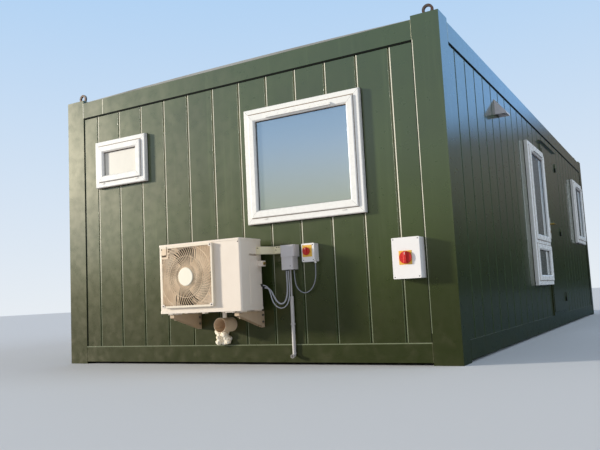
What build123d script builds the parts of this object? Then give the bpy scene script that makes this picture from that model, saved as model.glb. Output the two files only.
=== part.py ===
from build123d import *
import math
import os

os.makedirs("parts", exist_ok=True)

# A flat-roofed portable steel cabin, in millimetres.
# X runs along the front end, Y from the front end to the back, and Z is up.
# The origin is the middle of the underside of the front left corner post.

# Overall sizes
WIDTH = 3660.0
LENGTH = 7315.0
POST_TOP = 2443.0

# Corner posts, folded from plate, with a foot and a cap
POST_X = 205.0
POST_Y = 194.0
POST_T = 5.0
FOOT_T = 12.0
CAP_T = 10.0

# Rails
TOP_RAIL_DROP = 29.0
TOP_RAIL_H = 144.0
BOTTOM_RAIL_BOTTOM = 19.0
BOTTOM_RAIL_H = 136.0
RAIL_T = 5.0
TOP_FLANGE = 60.0
BOTTOM_FLANGE = 55.0

# Walls: a pressed sheet outside and an insulated core with its lining behind it
WALL_RECESS = 6.0
SHEET_T = 1.5
CORE_T = 65.0
GROOVE_DEPTH = 8.0
GROOVE_MOUTH = 16.0
GROOVE_FLOOR = 5.0
GROOVE_PITCH = 263.0
END_GROOVE_FIRST = 379.5
SIDE_GROOVE_FIRST = 345.0

# Floor and roof
DECK_T = 18.0
JOIST_W = 47.0
JOIST_PITCH = 560.0
CEILING_T = 114.0
ROOF_EDGE_INSET = 12.0
ROOF_EDGE_T = 3.0
ROOF_CROWN = 22.0

# Windows: outer frames, sashes, sealed panes and trickle vents
FIT = 0.3
FRAME_FACE = 58.0
FRAME_DEPTH = 70.0
FRAME_PROUD = 42.0
FRAME_CHAMFER = 6.0
TRANSOM_FACE = 66.0
SASH_FACE = 56.0
SASH_LAP = 10.0
SASH_PROUD = 14.0
SASH_DEPTH = 44.0
SASH_CHAMFER = 5.0
SASH_BEVEL = 11.0
GLASS_T = 24.0
GLASS_SET = 30.0
VENT_H = 22.0
VENT_REACH = 15.0
VENT_SHARE = 0.56
WINDOW_DROP = 271.0
SMALL_X, SMALL_W, SMALL_H = 385.0, 596.0, 423.0
BIG_X, BIG_W, BIG_H = 2030.0, 1009.0, 917.0
TALL_GAP, TALL_W, TALL_H = 45.0, 882.0, 1499.0
TALL_TRANSOM_RISE = 449.0
SIDE_INSET, SIDE_W = 495.0, 882.0
LEFT_INSET = 1320.0

# Door, in the right wall, hung on its far edge and opening outwards
DOOR_X = 3622.0
DOOR_W = 917.0
DOOR_DROP = 145.0
DOOR_FRAME_FACE = 40.0
DOOR_FRAME_OUT = -6.0
DOOR_SILL_H = 25.0
DOOR_GAP = 6.0
DOOR_LOCK_GAP = 8.0
DOOR_T = 44.0
DOOR_OUT = -10.0
STOP_W = 15.0
HINGE_FOOT = 158.0
HINGE_HEAD = 125.0
KNUCKLE_R = 8.0
KNUCKLE_H = 52.0
PIN_R = 4.0
PIN_CLEARANCE = 0.08
HINGE_PLATE_T = 3.0
HINGE_PLATE_W = 34.0
HANDLE_RISE = 963.0
HANDLE_BACKSET = 82.0
HANDLE_PLATE_W = 44.0
HANDLE_PLATE_H = 245.0
HANDLE_PLATE_T = 9.0
HANDLE_PLATE_CORNER = 8.0
LEVER_OVER_PLATE = 47.0
LEVER_STANDOFF = 48.0
LEVER_LENGTH = 122.0
LEVER_T = 11.0
LEVER_H = 20.0
LEVER_CORNER = 4.0
SPINDLE_R = 4.0
LEVER_HUB_R = 11.0
DRIP_OVERHANG = 30.0
DRIP_RISE = 13.0
DRIP_H = 30.0
DRIP_REACH = 36.0
DRIP_T = 2.0

# Vent cowl on the right wall
COWL_X, COWL_W = 1516.0, 146.0
COWL_DROP, COWL_H = 113.0, 139.0
COWL_REACH = 98.0
COWL_LIP = 12.0
COWL_T = 3.0

# Lifting eyes on the post caps
EYE_R = 42.0
EYE_HOLE_R = 24.0
EYE_T = 16.0
EYE_RISE = 46.0
EYE_NECK_W = 54.0
EYE_BASE_R = 34.0
EYE_BASE_T = 8.0

# Outdoor air-conditioning unit on the front wall
AC_X, AC_W = 1398.0, 770.0
AC_Z, AC_H = 425.0, 535.0
AC_FRONT = -360.0
AC_D = 288.0
AC_CORNER = 14.0
AC_LID_H, AC_LID_OVER, AC_LID_ROUND = 15.0, 3.0, 6.0
AC_PAN_H, AC_PAN_OVER = 22.0, 3.0
AC_FOOT_H = 12.0
AC_FOOT_W = 100.0
GRIP_L, GRIP_H, GRIP_DEPTH = 109.0, 16.0, 22.0
GRIP_RISE, GRIP_SETBACK = 403.0, 116.0
COVER_T, COVER_H, COVER_RISE = 3.0, 330.0, 40.0
COVER_SLOT_L, COVER_SLOT_H = 52.0, 9.0
COVER_SLOT_RISES = (185.0, 284.0)
COIL_BARS = 6
COIL_BAR_H = 7.0
COIL_DEPTH = 14.0
COIL_MARGIN = 34.0
VALVE_W, VALVE_D, VALVE_H = 48.0, 44.0, 42.0
SPOUT_X, SPOUT_Y, SPOUT_R, SPOUT_L = 507.0, 144.0, 16.0, 50.0
SPOUT_FLANGE_R, SPOUT_FLANGE_T = 28.0, 6.0

# Fan, with its guard and motor
HUB_X, HUB_Z = 282.0, 275.0
DUCT_R = 222.0
DUCT_DEPTH = 175.0
GUARD_X, GUARD_W = 38.0, 496.0
GUARD_Z, GUARD_H = 43.0, 474.0
GUARD_REACH = 28.0
GUARD_T = 5.0
GUARD_CORNER = 18.0
GUARD_RIM = 12.0
GUARD_BORDER = 15.0
GUARD_HUB_R = 70.0
GUARD_HUB_DOME = 6.0
GUARD_RIBS = 60
GUARD_RING_PITCH = 88.0
GUARD_RINGS = 3
GUARD_RIB_W = 4.0
GUARD_RING_W = 3.0
GUARD_RIB_STEPS = 4
GUARD_SWIRL = 0.16
GUARD_LEAST_SLOT = 90.0
TAB_W, TAB_H, TAB_T = 61.0, 66.0, 4.0
TAB_GRIP_H = 15.0
FAN_R = 205.0
FAN_HUB_R = 52.0
FAN_HUB_L = 62.0
FAN_BLADES = 3
BLADE_ROOT = (70.0, 42.0, 6.0)
BLADE_MIDDLE = (130.0, 30.0, 4.0)
BLADE_TIP = (150.0, 22.0, 3.0)
FAN_SHAFT_R = 6.0
FAN_BORE_START = 10.0
FAN_BACK_GAP = 8.0
MOTOR_R = 50.0
MOTOR_L = 60.0
MOTOR_ROUND = 5.0

# Wall brackets under the air-conditioning unit, folded channels open below
BRACKET_FROM_LEFT = 92.0
BRACKET_FROM_RIGHT = 68.0
BRACKET_W = 40.0
BRACKET_T = 4.0
BRACKET_TIP_GAP = 25.0
BRACKET_WALL_H = 128.0
BRACKET_TIP_H = 24.0
STUD_R, STUD_L = 5.0, 46.0
NUT_R, NUT_H = 9.0, 8.0

# Lagged refrigerant pipes, from the unit's side to the trunking
LAGGING_R = 21.0
LAGGING_BEND = 27.0
LAGGING_RUN = 34.0
VALVE_FORE = 46.0
VALVE_RISE = 323.0

# Trunking and its elbow box
TRUNK_GAP, TRUNK_L = 95.0, 78.0
TRUNK_RISE, TRUNK_H, TRUNK_D = 415.0, 58.0, 38.0
TRUNK_ROUND = 5.0
ELBOW_W, ELBOW_H, ELBOW_D = 100.0, 178.0, 83.0
ELBOW_BELOW = 128.0
ELBOW_ROUND = 12.0
ELBOW_CAP_H, ELBOW_CAP_OVER, ELBOW_CAP_ROUND = 82.0, 8.0, 14.0

# Isolators, with their plates and knobs
SMALL_ISO_X, SMALL_ISO_W = 2516.0, 106.0
SMALL_ISO_Z, SMALL_ISO_H, SMALL_ISO_D = 760.0, 136.0, 68.0
SMALL_PLATE_X, SMALL_PLATE_Z, SMALL_PLATE_W, SMALL_PLATE_H = 8.0, 36.0, 79.0, 87.0
SMALL_KNOB_X, SMALL_KNOB_Z, SMALL_KNOB_R = 42.0, 78.0, 29.0
LARGE_ISO_INSET, LARGE_ISO_W = 218.0, 200.0
LARGE_ISO_Z, LARGE_ISO_H, LARGE_ISO_D = 592.0, 281.0, 98.0
LARGE_PLATE_X, LARGE_PLATE_Z, LARGE_PLATE_W, LARGE_PLATE_H = 49.0, 95.0, 93.0, 95.0
LARGE_KNOB_X, LARGE_KNOB_Z, LARGE_KNOB_R = 98.0, 143.0, 43.0
ISO_CORNER = 7.0
ISO_LID_SHARE = 0.36
ISO_SEAM_W, ISO_SEAM_DEPTH = 2.0, 1.5
ISO_SCREW_R, ISO_SCREW_DEPTH, ISO_SCREW_INSET = 4.5, 2.5, 12.0
ISO_PLATE_T = 1.5
KNOB_H = 22.0
KNOB_GRIP_W = 0.56
KNOB_PIN_R = 5.0
KNOB_PIN_L = 12.0
KNOB_GAP = 0.5
GLAND_R, GLAND_H = 9.0, 12.0

# Drain pipe, pipe stub and foam
PIPE_IN = 44.0
PIPE_R, PIPE_BORE_R = 13.5, 11.5
PIPE_OUT = -14.0
PIPE_TOP, PIPE_BOTTOM = 512.0, 68.0
PIPE_BEND, PIPE_MOUTH = 20.0, 36.0
CLIP_ZS = (305.0,)
CLIP_H, CLIP_R, CLIP_W = 11.0, 17.5, 16.0
HOSE_R = 6.0
STUB_X, STUB_Z = 1806.0, 316.0
STUB_R, STUB_T, STUB_OUT = 57.0, 3.2, -150.0
FOAM_X, FOAM_W, FOAM_H, FOAM_FRONT = 1734.0, 150.0, 141.0, -58.0
FOAM_CUT = 22.0

# Cables, each a list of points from the front left corner's edges
THIN_R, THICK_R, ISO_CABLE_R = 4.0, 6.0, 4.0
CABLE_SIDES = 10
THIN_ROUTE = [
    (2171, -95, 606), (2200, -95, 606), (2226, -90, 586), (2238, -82, 550), (2243, -74, 508),
    (2254, -66, 468), (2278, -58, 438), (2314, -52, 424), (2350, -46, 438), (2372, -42, 474),
    (2381, -38, 518), (2383, -36, 566), (2381, -36, 614), (2380, -36, 662), (2380, -36, 712),
]
THICK_ROUTE = [
    (2168, -68, 588), (2204, -68, 588), (2236, -64, 562), (2252, -56, 520), (2272, -48, 478),
    (2304, -40, 456), (2336, -34, 470), (2352, -28, 510), (2357, -26, 556), (2358, -24, 606),
    (2356, -24, 658), (2356, -24, 712),
]
ISO_ROUTE = [
    (2609, -28, 748), (2609, -28, 704), (2605, -26, 642), (2587, -24, 586), (2551, -22, 545),
    (2507, -22, 530), (2464, -22, 546), (2434, -22, 584), (2421, -20, 646), (2420, -20, 712),
]

# Places that follow from the sizes
X_LEFT = -POST_X / 2
Y_FRONT = -POST_Y / 2
X_RIGHT = X_LEFT + WIDTH
Y_BACK = Y_FRONT + LENGTH
TOP_RAIL_TOP = POST_TOP - TOP_RAIL_DROP
TOP_RAIL_BOTTOM = TOP_RAIL_TOP - TOP_RAIL_H
BOTTOM_RAIL_TOP = BOTTOM_RAIL_BOTTOM + BOTTOM_RAIL_H
CORE_OUT = WALL_RECESS + GROOVE_DEPTH + SHEET_T
CORE_IN = CORE_OUT + CORE_T
CORE_TOP = TOP_RAIL_TOP - RAIL_T

# Each wall is modelled as seen from outside: x along it from its left end, y inwards, z up
FRONT = Pos(X_LEFT, Y_FRONT, 0)
RIGHT = Pos(X_RIGHT, Y_FRONT, 0) * Rot(0, 0, 90)
BACK = Pos(X_RIGHT, Y_BACK, 0) * Rot(0, 0, 180)
LEFT = Pos(X_LEFT, Y_BACK, 0) * Rot(0, 0, 270)


def block(x0, x1, y0, y1, z0, z1):
    """A box between two corners."""
    return Pos((x0 + x1) / 2, (y0 + y1) / 2, (z0 + z1) / 2) * Box(x1 - x0, y1 - y0, z1 - z0)


def rod(start, radius, length, direction):
    """A round bar that runs from start along direction."""
    return extrude(Plane(origin=start, z_dir=direction) * Circle(radius), length)


def prism_x(points, x0, x1):
    """An outline in Y and Z, extruded along X."""
    face = make_face(Polyline(*[(x0, y, z) for y, z in points], close=True))
    return extrude(face, x1 - x0, dir=(1, 0, 0))


def prism_z(points, z0, z1):
    """An outline in X and Y, extruded along Z."""
    face = make_face(Polyline(*[(x, y, z0) for x, y in points], close=True))
    return extrude(face, z1 - z0, dir=(0, 0, 1))


def front_face(shape):
    """The face that looks outwards, towards lower Y."""
    return shape.faces().sort_by(Axis.Y)[0]


def save(node, solids):
    """Writes one node's solids to its STEP file."""
    solids = solids if isinstance(solids, list) else [solids]
    found = []
    for shape in solids:
        found.extend(shape.solids())
    shape = found[0] if len(found) == 1 else Compound(children=found)
    export_step(shape, f"parts/{node}.step")


# Corner posts

def corner_post():
    """A folded post with two lips, a foot plate and a cap, for the front left corner."""
    outline = [
        (0, 0), (POST_X, 0), (POST_X, CORE_OUT), (POST_X - POST_T, CORE_OUT),
        (POST_X - POST_T, POST_T), (POST_T, POST_T), (POST_T, POST_Y - POST_T),
        (CORE_OUT, POST_Y - POST_T), (CORE_OUT, POST_Y), (0, POST_Y),
    ]
    fold = prism_z(outline, FOOT_T, POST_TOP - CAP_T)
    foot = block(0, POST_X, 0, POST_Y, 0, FOOT_T)
    cap = block(0, POST_X, 0, POST_Y, POST_TOP - CAP_T, POST_TOP)
    return fold + foot + cap


def mirrored(shape, in_x, in_y):
    """The shape in one of the four corners of the plan."""
    if in_x:
        shape = Pos(WIDTH, 0, 0) * mirror(shape, about=Plane.YZ)
    if in_y:
        shape = Pos(0, LENGTH, 0) * mirror(shape, about=Plane.XZ)
    return FRONT * shape


CORNERS = {
    "front_left": (False, False), "front_right": (True, False),
    "back_left": (False, True), "back_right": (True, True),
}
for corner, (in_x, in_y) in CORNERS.items():
    save(f"corner_post_{corner}", mirrored(corner_post(), in_x, in_y))


def lifting_eye():
    """A flat forged eye on a round base, standing on the post's cap."""
    x, y, z = POST_X / 2, POST_Y / 2, POST_TOP + EYE_BASE_T + EYE_RISE
    ring = rod((x, y - EYE_T / 2, z), EYE_R, EYE_T, (0, 1, 0))
    neck = block(x - EYE_NECK_W / 2, x + EYE_NECK_W / 2, y - EYE_T / 2, y + EYE_T / 2, POST_TOP, z)
    hole = rod((x, y - EYE_T, z), EYE_HOLE_R, 2 * EYE_T, (0, 1, 0))
    base = rod((x, y, POST_TOP), EYE_BASE_R, EYE_BASE_T, (0, 0, 1))
    return ring + neck + base - hole


save("lifting_eyes", [mirrored(lifting_eye(), in_x, in_y) for in_x, in_y in CORNERS.values()])


# Rails

def top_rail(end_gap, length):
    """A channel with a flange under the roof and one over the wall sheet."""
    z0, z1 = TOP_RAIL_BOTTOM, TOP_RAIL_TOP
    outline = [
        (0, z0), (CORE_OUT, z0), (CORE_OUT, z0 + RAIL_T), (RAIL_T, z0 + RAIL_T),
        (RAIL_T, z1 - RAIL_T), (TOP_FLANGE, z1 - RAIL_T), (TOP_FLANGE, z1), (0, z1),
    ]
    return prism_x(outline, end_gap, length - end_gap)


def bottom_rail(end_gap, length):
    """A channel whose top flange carries the wall."""
    z0, z1 = BOTTOM_RAIL_BOTTOM, BOTTOM_RAIL_TOP
    outline = [
        (0, z0), (BOTTOM_FLANGE, z0), (BOTTOM_FLANGE, z0 + RAIL_T), (RAIL_T, z0 + RAIL_T),
        (RAIL_T, z1 - RAIL_T), (CORE_IN, z1 - RAIL_T), (CORE_IN, z1), (0, z1),
    ]
    return prism_x(outline, end_gap, length - end_gap)


save("top_rails_ends", [place * top_rail(POST_X, WIDTH) for place in (FRONT, BACK)])
save("top_rails_sides", [place * top_rail(POST_Y, LENGTH) for place in (LEFT, RIGHT)])
save("bottom_rails_ends", [place * bottom_rail(POST_X, WIDTH) for place in (FRONT, BACK)])
save("bottom_rails_sides", [place * bottom_rail(POST_Y, LENGTH) for place in (LEFT, RIGHT)])


# Floor and roof

def floor_deck():
    """Boarding that lies between the rails' flanges, flush with them."""
    return FRONT * block(CORE_IN, WIDTH - CORE_IN, CORE_IN, LENGTH - CORE_IN,
                         BOTTOM_RAIL_TOP - DECK_T, BOTTOM_RAIL_TOP)


def floor_joists():
    """Timber joists between the webs of the side rails."""
    count = int((LENGTH - 2 * CORE_IN) // JOIST_PITCH)
    first = (LENGTH - (count - 1) * JOIST_PITCH) / 2
    joists = []
    for i in range(count):
        y = first + i * JOIST_PITCH
        joists.append(FRONT * block(RAIL_T, WIDTH - RAIL_T, y - JOIST_W / 2, y + JOIST_W / 2,
                                    BOTTOM_RAIL_BOTTOM + RAIL_T, BOTTOM_RAIL_TOP - DECK_T))
    return joists


def ceiling_panel():
    """The insulated deck under the roof, lined below."""
    return FRONT * block(CORE_IN, WIDTH - CORE_IN, CORE_IN, LENGTH - CORE_IN,
                         TOP_RAIL_TOP - CEILING_T, TOP_RAIL_TOP)


def roof_deck():
    """The roof: flat beneath, crowned above, notched around the posts."""
    x0, x1 = ROOF_EDGE_INSET, WIDTH - ROOF_EDGE_INSET
    edge = TOP_RAIL_TOP + ROOF_EDGE_T
    top = edge + ROOF_CROWN
    base = Polyline((x0, ROOF_EDGE_INSET, edge), (x0, ROOF_EDGE_INSET, TOP_RAIL_TOP),
                    (x1, ROOF_EDGE_INSET, TOP_RAIL_TOP), (x1, ROOF_EDGE_INSET, edge))
    crown = ThreePointArc((x1, ROOF_EDGE_INSET, edge), (WIDTH / 2, ROOF_EDGE_INSET, top),
                          (x0, ROOF_EDGE_INSET, edge))
    deck = extrude(make_face(base + crown), LENGTH - 2 * ROOF_EDGE_INSET, dir=(0, 1, 0))
    for x in (0, WIDTH - POST_X):
        for y in (0, LENGTH - POST_Y):
            deck -= block(x, x + POST_X, y, y + POST_Y, TOP_RAIL_TOP - 1, top + 1)
    return FRONT * deck


save("floor_deck", floor_deck())
save("floor_joists", floor_joists())
save("ceiling_panel", ceiling_panel())
save("roof_deck", roof_deck())


# Walls

def wall_sheet(end_gap, length, first_groove):
    """A pressed sheet with grooves whose floors bear on the core."""
    outer = []
    x = first_groove
    while x < length - end_gap - GROOVE_MOUTH:
        if x > end_gap + GROOVE_MOUTH:
            outer += [
                (x - GROOVE_MOUTH / 2, WALL_RECESS), (x - GROOVE_FLOOR / 2, WALL_RECESS + GROOVE_DEPTH),
                (x + GROOVE_FLOOR / 2, WALL_RECESS + GROOVE_DEPTH), (x + GROOVE_MOUTH / 2, WALL_RECESS),
            ]
        x += GROOVE_PITCH
    outer = [(end_gap, WALL_RECESS)] + outer + [(length - end_gap, WALL_RECESS)]
    inner = [(x, y + SHEET_T) for x, y in reversed(outer)]
    return prism_z(outer + inner, BOTTOM_RAIL_TOP, TOP_RAIL_BOTTOM)


def aperture(x, z, w, h):
    """The hole for a window, a fit clear of its frame."""
    return block(x - FIT, x + w + FIT, 0, CORE_IN + 1, z - FIT, z + h + FIT)


def end_core():
    """The core of an end wall, as long as the gap between the side sheets."""
    return block(CORE_OUT, WIDTH - CORE_OUT, CORE_OUT, CORE_IN, BOTTOM_RAIL_TOP, CORE_TOP)


def side_core(x0, x1, z0=BOTTOM_RAIL_TOP):
    """A stretch of a side wall's core."""
    return block(x0, x1, CORE_OUT, CORE_IN, z0, CORE_TOP)


WINDOW_HEAD = TOP_RAIL_BOTTOM - WINDOW_DROP
DOOR_HEAD = TOP_RAIL_BOTTOM - DOOR_DROP
SIDE_Z = WINDOW_HEAD - BIG_H
SMALL_Z = WINDOW_HEAD - SMALL_H
TALL_Z = WINDOW_HEAD - TALL_H
TALL_X = DOOR_X - TALL_GAP - TALL_W
SIDE_X = LENGTH - SIDE_INSET - SIDE_W
BACK_X = (WIDTH - BIG_W) / 2
FRONT_HOLES = [(SMALL_X, SMALL_Z, SMALL_W, SMALL_H), (BIG_X, SIDE_Z, BIG_W, BIG_H)]
RIGHT_HOLES = [(TALL_X, TALL_Z, TALL_W, TALL_H), (SIDE_X, SIDE_Z, SIDE_W, BIG_H)]
BACK_HOLES = [(BACK_X, SIDE_Z, BIG_W, BIG_H)]
LEFT_HOLES = [(x, SIDE_Z, SIDE_W, BIG_H) for x in (LEFT_INSET, LENGTH - LEFT_INSET - SIDE_W)]
DOORWAY = block(DOOR_X, DOOR_X + DOOR_W, 0, CORE_IN + 1, BOTTOM_RAIL_TOP, DOOR_HEAD)


def cut(shape, holes):
    """The shape with its window holes."""
    for hole in holes:
        shape -= aperture(*hole)
    return shape


DOOR_END = DOOR_X + DOOR_W
save("front_wall", FRONT * cut(end_core(), FRONT_HOLES))
save("back_wall", BACK * cut(end_core(), BACK_HOLES))
save("left_wall", LEFT * cut(side_core(CORE_IN, LENGTH - CORE_IN), LEFT_HOLES))
save("right_wall_near", RIGHT * cut(side_core(CORE_IN, DOOR_X), RIGHT_HOLES[:1]))
save("right_wall_far", RIGHT * cut(side_core(DOOR_END, LENGTH - CORE_IN), RIGHT_HOLES[1:]))
save("right_wall_over_door", RIGHT * side_core(DOOR_X, DOOR_END, DOOR_HEAD))

save("front_sheet", FRONT * cut(wall_sheet(POST_X, WIDTH, END_GROOVE_FIRST), FRONT_HOLES))
save("back_sheet", BACK * cut(wall_sheet(POST_X, WIDTH, END_GROOVE_FIRST), BACK_HOLES))
save("left_sheet", LEFT * cut(wall_sheet(POST_Y, LENGTH, SIDE_GROOVE_FIRST), LEFT_HOLES))
save("right_sheet", RIGHT * (cut(wall_sheet(POST_Y, LENGTH, SIDE_GROOVE_FIRST), RIGHT_HOLES) - DOORWAY))


# Windows

FRAME_FRONT = WALL_RECESS - FRAME_PROUD
SASH_FRONT = FRAME_FRONT - FIT - SASH_PROUD


def lights(z, h, transom):
    """The heights of the openings between a window's bars."""
    if transom is None:
        return [(z + FRAME_FACE, z + h - FRAME_FACE)]
    middle = z + transom
    return [
        (z + FRAME_FACE, middle - TRANSOM_FACE / 2),
        (middle + TRANSOM_FACE / 2, z + h - FRAME_FACE),
    ]


def window_frame(x, z, w, h, transom=None):
    """An outer frame with bevelled front edges."""
    frame = block(x, x + w, FRAME_FRONT, FRAME_FRONT + FRAME_DEPTH, z, z + h)
    frame = chamfer(front_face(frame).edges(), FRAME_CHAMFER)
    for z0, z1 in lights(z, h, transom):
        frame -= block(x + FRAME_FACE, x + w - FRAME_FACE, FRAME_FRONT - 1,
                       FRAME_FRONT + FRAME_DEPTH + 1, z0, z1)
    return frame


def window_sashes(x, z, w, h, transom=None):
    """A sash for each light, lapping over the frame's face, bevelled outside and in."""
    sashes = []
    x0, x1 = x + FRAME_FACE, x + w - FRAME_FACE
    border = SASH_FACE - SASH_LAP
    back = SASH_FRONT + SASH_PROUD + SASH_DEPTH
    for z0, z1 in lights(z, h, transom):
        lap = block(x0 - SASH_LAP, x1 + SASH_LAP, SASH_FRONT, SASH_FRONT + SASH_PROUD,
                    z0 - SASH_LAP, z1 + SASH_LAP)
        lap = chamfer(front_face(lap).edges(), SASH_CHAMFER)
        body = block(x0 + FIT, x1 - FIT, SASH_FRONT + SASH_PROUD, back, z0 + FIT, z1 - FIT)
        hole = block(x0 + border, x1 - border, SASH_FRONT - 1, back + 1, z0 + border, z1 - border)
        sash = lap + body - hole
        sashes.append(chamfer(front_face(sash).inner_wires()[0].edges(), SASH_BEVEL))
    return sashes


def window_panes(x, z, w, h, transom=None):
    """A sealed pane in each sash, set back from its face."""
    border = SASH_FACE - SASH_LAP + FIT
    x0, x1 = x + FRAME_FACE + border, x + w - FRAME_FACE - border
    y0 = SASH_FRONT + GLASS_SET
    return [block(x0, x1, y0, y0 + GLASS_T, z0 + border, z1 - border) for z0, z1 in lights(z, h, transom)]


def trickle_vent(x, z, w, h, transom=None):
    """A hooded vent on the top bar of a window's highest sash."""
    bar = SASH_FACE - SASH_LAP - SASH_BEVEL
    z1 = z + h - FRAME_FACE - bar + VENT_H
    middle, length = x + w / 2, w * VENT_SHARE
    outline = [
        (SASH_FRONT, z1), (SASH_FRONT, z1 - VENT_H), (SASH_FRONT - VENT_REACH, z1 - VENT_H),
        (SASH_FRONT - VENT_REACH, z1 - VENT_H / 2),
    ]
    return prism_x(outline, middle - length / 2, middle + length / 2)


TALL_WINDOW = RIGHT_HOLES[0] + (TALL_TRANSOM_RISE,)
WINDOWS = {
    "front": [(FRONT, hole) for hole in FRONT_HOLES],
    "right": [(RIGHT, TALL_WINDOW), (RIGHT, RIGHT_HOLES[1])],
    "rear": [(BACK, BACK_HOLES[0])] + [(LEFT, hole) for hole in LEFT_HOLES],
}
panes, vents = [], []
for side, windows in WINDOWS.items():
    frames, sashes = [], []
    for place, window in windows:
        frames.append(place * window_frame(*window))
        sashes += [place * sash for sash in window_sashes(*window)]
        panes += [place * pane for pane in window_panes(*window)]
        if window is not FRONT_HOLES[0]:
            vents.append(place * trickle_vent(*window))
    save(f"{side}_window_frames", frames)
    save(f"{side}_window_sashes", sashes)
save("window_glass", panes)
save("trickle_vents", vents)


# Door

LEAF_X0 = DOOR_X + DOOR_FRAME_FACE + DOOR_LOCK_GAP
LEAF_X1 = DOOR_END - DOOR_FRAME_FACE - DOOR_GAP
LEAF_Z0 = BOTTOM_RAIL_TOP + DOOR_SILL_H + DOOR_GAP
LEAF_Z1 = DOOR_HEAD - DOOR_FRAME_FACE - DOOR_GAP
HINGE_X = LEAF_X1 + DOOR_GAP / 2
HINGE_Y = DOOR_OUT - KNUCKLE_R
HINGE_LOW, HINGE_HIGH = LEAF_Z0 + HINGE_FOOT, LEAF_Z1 - HINGE_HEAD
HINGE_ZS = (HINGE_LOW, (HINGE_LOW + HINGE_HIGH) / 2, HINGE_HIGH)
HANDLE_X = LEAF_X0 + HANDLE_BACKSET
HANDLE_Z = LEAF_Z0 + HANDLE_RISE
LEVER_Z = HANDLE_Z + LEVER_OVER_PLATE
DOOR_BACK = DOOR_OUT + DOOR_T


def door_frame():
    """Jambs, head and sill, with a stop behind the leaf."""
    x0, x1 = DOOR_X, DOOR_END
    z0, z1 = BOTTOM_RAIL_TOP, DOOR_HEAD
    outer = block(x0, x1, DOOR_FRAME_OUT, CORE_IN, z0, z1)
    front = DOOR_FRAME_OUT - 1
    clear = block(x0 + DOOR_FRAME_FACE, x1 - DOOR_FRAME_FACE, front, DOOR_BACK + DOOR_GAP,
                  z0 + DOOR_SILL_H, z1 - DOOR_FRAME_FACE)
    inside = block(x0 + DOOR_FRAME_FACE + STOP_W, x1 - DOOR_FRAME_FACE - STOP_W, front, CORE_IN + 1,
                   z0 + DOOR_SILL_H, z1 - DOOR_FRAME_FACE - STOP_W)
    return outer - clear - inside


def door_leaf():
    """The leaf, with the hole for the spindle and the moving halves of the hinges."""
    leaf = block(LEAF_X0, LEAF_X1, DOOR_OUT, DOOR_BACK, LEAF_Z0, LEAF_Z1)
    leaf -= rod((HANDLE_X, DOOR_OUT - 1, LEVER_Z), SPINDLE_R + PIN_CLEARANCE, DOOR_T + 2, (0, 1, 0))
    for z in HINGE_ZS:
        knuckle = rod((HINGE_X, HINGE_Y, z + FIT), KNUCKLE_R, KNUCKLE_H, (0, 0, 1))
        plate = block(HINGE_X - HINGE_PLATE_W, HINGE_X, DOOR_OUT - HINGE_PLATE_T, DOOR_OUT,
                      z + FIT, z + FIT + KNUCKLE_H)
        bore = rod((HINGE_X, HINGE_Y, z), PIN_R + PIN_CLEARANCE, KNUCKLE_H * 0.9, (0, 0, 1))
        leaf += knuckle + plate - bore
    return leaf


def door_hinges():
    """The fixed halves: a knuckle with its pin, and a plate on the frame's face."""
    hinges = []
    for z in HINGE_ZS:
        knuckle = rod((HINGE_X, HINGE_Y, z - KNUCKLE_H), KNUCKLE_R, KNUCKLE_H, (0, 0, 1))
        pin = rod((HINGE_X, HINGE_Y, z - 1), PIN_R, KNUCKLE_H * 0.85, (0, 0, 1))
        plate = block(HINGE_X, HINGE_X + HINGE_PLATE_W, DOOR_OUT - HINGE_PLATE_T, DOOR_FRAME_OUT,
                      z - KNUCKLE_H, z)
        leaf_side = block(HINGE_X, DOOR_END - DOOR_FRAME_FACE, DOOR_OUT, DOOR_FRAME_OUT,
                          z - KNUCKLE_H - 1, z + 1)
        hinges.append(knuckle + pin + (plate - leaf_side))
    return hinges


def handle_plates():
    """A long plate on each face of the leaf."""
    plates = []
    for y in (DOOR_OUT - HANDLE_PLATE_T, DOOR_BACK):
        plate = block(HANDLE_X - HANDLE_PLATE_W / 2, HANDLE_X + HANDLE_PLATE_W / 2, y, y + HANDLE_PLATE_T,
                      HANDLE_Z - HANDLE_PLATE_H / 2, HANDLE_Z + HANDLE_PLATE_H / 2)
        plate = fillet(plate.edges().filter_by(Axis.Y), HANDLE_PLATE_CORNER)
        plate -= rod((HANDLE_X, y - 1, LEVER_Z), SPINDLE_R + PIN_CLEARANCE, HANDLE_PLATE_T + 2, (0, 1, 0))
        plates.append(plate)
    return plates


def door_lever():
    """Two levers on one spindle."""
    outer = DOOR_OUT - HANDLE_PLATE_T
    inner = DOOR_BACK + HANDLE_PLATE_T
    reach = inner - outer + 2 * LEVER_STANDOFF
    lever = rod((HANDLE_X, outer - LEVER_STANDOFF, LEVER_Z), SPINDLE_R, reach, (0, 1, 0))
    hub = LEVER_STANDOFF - FIT
    for start, face in ((outer - LEVER_STANDOFF, outer - LEVER_STANDOFF),
                        (inner + FIT, inner + LEVER_STANDOFF - LEVER_T)):
        arm = block(HANDLE_X, HANDLE_X + LEVER_LENGTH, face, face + LEVER_T,
                    LEVER_Z - LEVER_H / 2, LEVER_Z + LEVER_H / 2)
        arm = fillet(arm.edges().filter_by(Axis.X), LEVER_CORNER)
        lever += arm + rod((HANDLE_X, start, LEVER_Z), LEVER_HUB_R, hub, (0, 1, 0))
    return lever


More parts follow.
